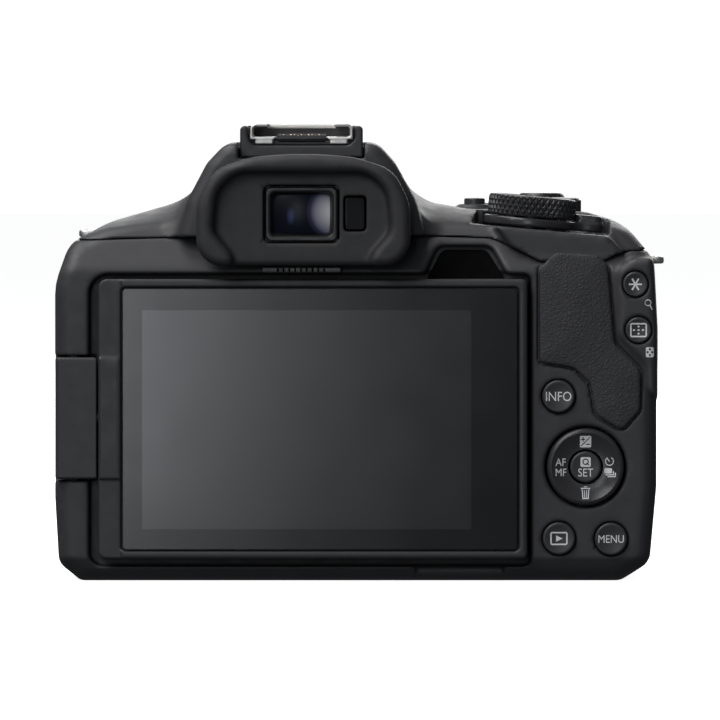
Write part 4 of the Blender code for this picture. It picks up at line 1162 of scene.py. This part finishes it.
def make_screen():
    outline = ((-49.8, 4.4, 1.5), (31.7, 4.4, 1.0), (31.7, 57.5, 1.0), (-49.8, 57.5, 1.8))
    f = field_over("lcd_bezel", 0.22)
    bezel = meet(f.outline("y", outline), np.maximum(-26.5 - f.y, f.y + 24.9), 0.45)
    rim = f.outline("y", rectangle(-45.5, 30.1, 5.8, 56.0, 0.9))
    bezel = carve(bezel, np.maximum(rim, f.y + 25.6), 0.15)
    bezel = carve(bezel, f.outline("y", rectangle(-43.3, 23.3, 8.2, 53.4, 0.3)) + 0 * f.y)
    strap = f.block(-60, -45.4, -30, -26.15, -10, BLOCK_LOW, 0.2)
    bezel = carve(bezel, strap, 0.15)
    bezel = carve(bezel, f.block(-60, -45.4, -30, -26.15, BLOCK_HIGH, 70, 0.2), 0.15)
    add("screen_frame", f.skin(bezel), COVER_PLASTIC, "lcd_bezel")

    f = field_over("lcd_back_shell", 0.3)
    shell = meet(f.outline("y", outline), np.maximum(-24.6 - f.y, f.y + 19.5), 0.6)
    shell = carve(shell, f.block(-48.4, 30.3, -40, -20.7, 5.8, 56.1, 0.5))
    shell = carve(shell, np.maximum(f.rod("x", TILT_Y, TILT_Z, 1.75), np.abs(f.x + 48) - 3), 0.15)
    for x in (-40, 22):
        shell = carve(shell, f.block(x - 5, x + 5, -19.7, -19.0, 29, 33, 0.15), 0.1)
    add("screen_back", f.skin(shell), COVER_PLASTIC, "lcd_back_shell")

    low, high = span("lcd_glass")
    bm = prism("y", rounded(rectangle(low.x, high.x, low.z, high.z, 0.8)), low.y, high.y, 0.12)
    add_solid("screen_glass_pane", bm, SCREEN_GLASS, "lcd_glass")
    bm = prism("y", rounded(rectangle(-41.5, 21.0, 10.0, 51.6, 0.15)), low.y - 0.008, low.y + 0.1)
    add_solid("screen_active_area", bm, SCREEN_ACTIVE, body="screen")
    dressed("lcd_panel", DARK_TRIM)


def make_screen_hinge():
    f = field_over("lcd_hinge_block", 0.2)
    plan = [(-57.3, -25.6), (-50.1, -25.6)]
    for step in range(13):
        angle = math.radians(135 * step / 12)
        plan.append((SWING_X + 4.2 * math.cos(angle), SWING_Y + 4.2 * math.sin(angle)))
    plan += [(-58.0, -20.2), (-58.0, -24.9)]
    block = outline_distance(plan, f.x, f.y)
    block = meet(block, np.maximum(BLOCK_LOW - f.z, f.z - BLOCK_HIGH), 0.4)
    block = carve(block, f.rod("z", SWING_X, SWING_Y, 1.5))
    block = carve(block, np.maximum(f.rod("x", TILT_Y, TILT_Z, 1.75), -52.6 - f.x), 0.1)
    add("hinge_block", f.skin(block), PLASTIC, "lcd_hinge_block")
    dressed("lcd_tilt_shaft", DARK_STEEL)
    dressed("lcd_hinge_pin", DARK_STEEL)


# ---------------------------------------------------------------- mount and inner pieces

def make_mount():
    low, high = span("mount_ring")
    y0, y1 = low.y, high.y
    bm = bmesh.new()
    profile = rounded(((27.0, y0, 0.05), (30.2, y0, 0.05), (30.2, y1 - 0.25, 0.2), (29.6, y1, 0.15),
                       (27.4, y1, 0.15), (27.0, y1 - 0.4, 0.1)), math.radians(30))
    lathe(bm, profile, 160)
    place = facing("front", AXIS_X, 0, AXIS_Z)
    add_solid("mount_flange", bm, SATIN_STEEL, "mount_ring", place=place)

    bm = bmesh.new()
    for start in (20, 140, 260):
        arc = []
        for i in range(13):
            angle = math.radians(start + 50 * i / 12)
            arc.append((AXIS_X + 27.15 * math.cos(angle), AXIS_Z + 27.15 * math.sin(angle)))
        for i in range(12, -1, -1):
            angle = math.radians(start + 50 * i / 12)
            arc.append((AXIS_X + 25.4 * math.cos(angle), AXIS_Z + 25.4 * math.sin(angle)))
        prism("y", arc, y0 + 0.3, y0 + 1.6, 0.15, bm=bm)
    add_solid("bayonet_tabs", bm, SATIN_STEEL, body="root")

    bm = bmesh.new()
    for i in range(4):
        angle = math.radians(45 + 90 * i)
        x, z = AXIS_X + 28.6 * math.cos(angle), AXIS_Z + 28.6 * math.sin(angle)
        screw(bm, facing("front", x, y1 + 0.02, z), 0.95, 0.2)
    add_solid("mount_screws", bm, DARK_STEEL, body="root")

    low, high = span("mount_contacts")
    bm = brick(bmesh.new(), low.x, high.x, low.y, high.y, low.z, high.z, 0.25)
    add_solid("contact_block", bm, DARK_TRIM, "mount_contacts")
    bm = bmesh.new()
    for i in range(11):
        x = low.x + 1.2 + (high.x - low.x - 2.4) * i / 10
        pin = lathe(bmesh.new(), [(0, 0), (0.34, 0), (0.34, 0.25), (0.2, 0.42), (0, 0.45)], 16)
        pin.transform(facing("front", x, high.y, high.z - 0.9))
        absorb(bm, pin)
    add_solid("contact_pins", bm, GOLD, body="root")

    low, high = span("lens_release_button")
    centre = middle("lens_release_button")
    profile = [(0, low.y), (4.0, low.y), (4.0, high.y - 0.6), (3.8, high.y - 0.2), (3.35, high.y),
               (2.4, high.y - 0.2), (1.2, high.y - 0.32), (0, high.y - 0.36)]
    place = facing("front", centre.x, 0, centre.z)
    add_solid("lens_release_cap", lathe(bmesh.new(), profile), BUTTON, "lens_release_button", place=place)
    dressed("lens_lock_pin", STEEL)

    low, high = span("af_assist_lamp")
    centre = middle("af_assist_lamp")
    profile = [(0, low.y), (2.3, low.y), (2.3, high.y - 0.5), (1.9, high.y - 0.18),
               (1.0, high.y - 0.02), (0, high.y)]
    place = facing("front", centre.x, 0, centre.z)
    add_solid("af_lamp_lens", lathe(bmesh.new(), profile), CLEAR, "af_assist_lamp", place=place)


def make_inner_pieces():
    for node, look in (("chassis", DARK_STEEL), ("shutter_unit", DARK_STEEL), ("sensor_frame", DARK_STEEL),
                       ("main_board", BOARD), ("image_sensor", SENSOR), ("battery", BATTERY),
                       ("memory_card", CARD), ("battery_door_latch", BUTTON)):
        dressed(node, look)
    f = field_over("battery_door", 0.25)
    low, high = span("battery_door")
    door = f.block(low.x, high.x, low.y, high.y, low.z, high.z, 0.5)
    door = carve(door, f.block(39.8, 46.8, 2.7, 11.3, -5, 5, 0.4), 0.2)
    for i in range(4):
        door = carve(door, f.block(38, 44.5, 16 + 1.8 * i, 17 + 1.8 * i, -1, low.z + 0.35, 0.15), 0.1)
    add("battery_door_panel", f.skin(door), PLASTIC, "battery_door")
    low, high = span("tripod_socket")
    bm = bmesh.new()
    profile = [(5.0, low.z + 0.15), (5.0, high.z), (0, high.z), (0, 6.6), (3.1, 6.6)]
    threads = 7
    for i in range(threads * 2, -1, -1):
        profile.append((3.25 if i % 2 else 2.95, low.z + 0.3 + 6.1 * i / (threads * 2)))
    profile += [(3.5, low.z), (4.8, low.z)]
    lathe(bm, profile, 64)
    place = Matrix.Translation((AXIS_X, 4, 0))
    add_solid("tripod_thread", bm, SATIN_STEEL, "tripod_socket", place=place)


def make_side_fittings():
    for node, outward in (("mic_cover", "left"), ("terminal_cover", "right")):
        low, high = span(node)
        f = field_over(node, 0.18)
        flap = f.block(low.x, high.x, low.y, high.y, low.z, high.z, 0.5)
        lip = f.block(low.x - 1, high.x + 1, high.y - 1.6, high.y - 0.7, low.z + 1.2, low.z + 4.2, 0.4)
        side = low.x + 0.3 - f.x if outward == "left" else f.x - high.x + 0.3
        flap = carve(flap, np.maximum(lip, -side), 0.15)
        add(node + "_flap", f.skin(flap), SOFT_RUBBER, node)
    for node, slot in (("strap_lug_left", (-53.0, -51.6)), ("strap_lug_right", (55.2, 57.1))):
        low, high = span(node)
        f = field_over(node, 0.15)
        outline = f.outline("z", rectangle(low.x, high.x, low.y, high.y, 1.4))
        lug = meet(outline, np.maximum(low.z - f.z, f.z - high.z), 0.45)
        hole = f.outline("z", rectangle(slot[0], slot[1], -3.6, 3.6, 0.6))
        lug = carve(lug, hole + 0 * f.z, 0.3)
        add(node + "_loop", f.skin(lug), SATIN_STEEL, node)


# ---------------------------------------------------------------- studio

def area_light(name, place, aim, size, power, colour=(1, 1, 1)):
    light = bpy.data.lights.new(name, "AREA")
    light.shape = "RECTANGLE"
    light.size, light.size_y = size
    light.energy = power
    light.color = colour
    holder = bpy.data.objects.new(name, light)
    bpy.context.collection.objects.link(holder)
    holder.location = place
    holder.rotation_euler = (Vector(aim) - Vector(place)).to_track_quat("-Z", "Y").to_euler()
    holder.visible_camera = False
    return holder


def make_studio():
    scene = bpy.context.scene
    world = bpy.data.worlds.new("studio")
    scene.world = world
    world.use_nodes = True
    tree = world.node_tree
    ground = tree.nodes["Background"]
    ground.inputs["Color"].default_value = (0.75, 0.78, 0.82, 1)
    ground.inputs["Strength"].default_value = 0.1
    backdrop = tree.nodes.new("ShaderNodeBackground")
    backdrop.inputs["Color"].default_value = (1, 1, 1, 1)
    backdrop.inputs["Strength"].default_value = 1.05
    path = tree.nodes.new("ShaderNodeLightPath")
    mix = tree.nodes.new("ShaderNodeMixShader")
    tree.links.new(path.outputs["Is Camera Ray"], mix.inputs[0])
    tree.links.new(ground.outputs[0], mix.inputs[1])
    tree.links.new(backdrop.outputs[0], mix.inputs[2])
    tree.links.new(mix.outputs[0], tree.nodes["World Output"].inputs["Surface"])

    bm = bmesh.new()
    bmesh.ops.create_grid(bm, x_segments=1, y_segments=1, size=6000)
    floor = bpy.data.objects.new("floor", mesh_from(bm))
    bpy.context.collection.objects.link(floor)
    pale = Look("pale_floor", "floor", (0.9, 0.9, 0.9), 0.9)
    pale.shader.inputs["Emission Color"].default_value = (1, 1, 1, 1)
    pale.shader.inputs["Emission Strength"].default_value = 0.9
    pale.bump(pale.noise(40, 2.0), 0.05)
    floor.data.materials.append(pale.material)
    floor.visible_glossy = False
    floor.visible_diffuse = False

    area_light("key", (-0.75, -1.15, 1.1), (-0.02, 0, 0.05), (0.9, 0.9), 13.5)
    area_light("top", (-0.45, 0.0, 1.1), (0, 0, 0.04), (0.9, 0.7), 10)
    area_light("front_fill", (0.3, 1.6, 0.7), (0, 0, 0.04), (1.2, 0.9), 12)
    area_light("screen_glow", (-0.095, -0.87, 0.125), (-0.095, 0, 0.125), (0.08, 0.3), 0.72,
               (0.95, 1.0, 1.03))
    scene.view_settings.view_transform = "Standard"


def make_camera():
    data = bpy.data.cameras.new("camera")
    holder = bpy.data.objects.new("camera", data)
    bpy.context.collection.objects.link(holder)
    data.sensor_width = FILM_WIDTH
    data.lens = FILM_WIDTH * VIEW_DISTANCE / VIEW_WIDTH
    data.clip_start, data.clip_end = 0.1, 50
    aim = Vector((-0.1, REAR, 42.1)) * MM
    lift = math.radians(1.3)
    holder.location = aim + VIEW_DISTANCE * Vector((0, -math.cos(lift), math.sin(lift)))
    holder.rotation_euler = (aim - holder.location).to_track_quat("-Z", "Y").to_euler()
    bpy.context.scene.camera = holder


make_camera()
surface = make_rear_cover()
make_front_cover()
make_grip_rubber()
make_base_cover()
make_top_cover()
make_flash()
make_thumb_rest()
make_eyecup()
make_viewfinder()
make_hot_shoe()
make_mode_dial()
make_power_lever()
make_top_buttons()
make_print(make_rear_controls(), surface)
make_screen()
make_screen_hinge()
make_mount()
make_inner_pieces()
make_side_fittings()
make_studio()
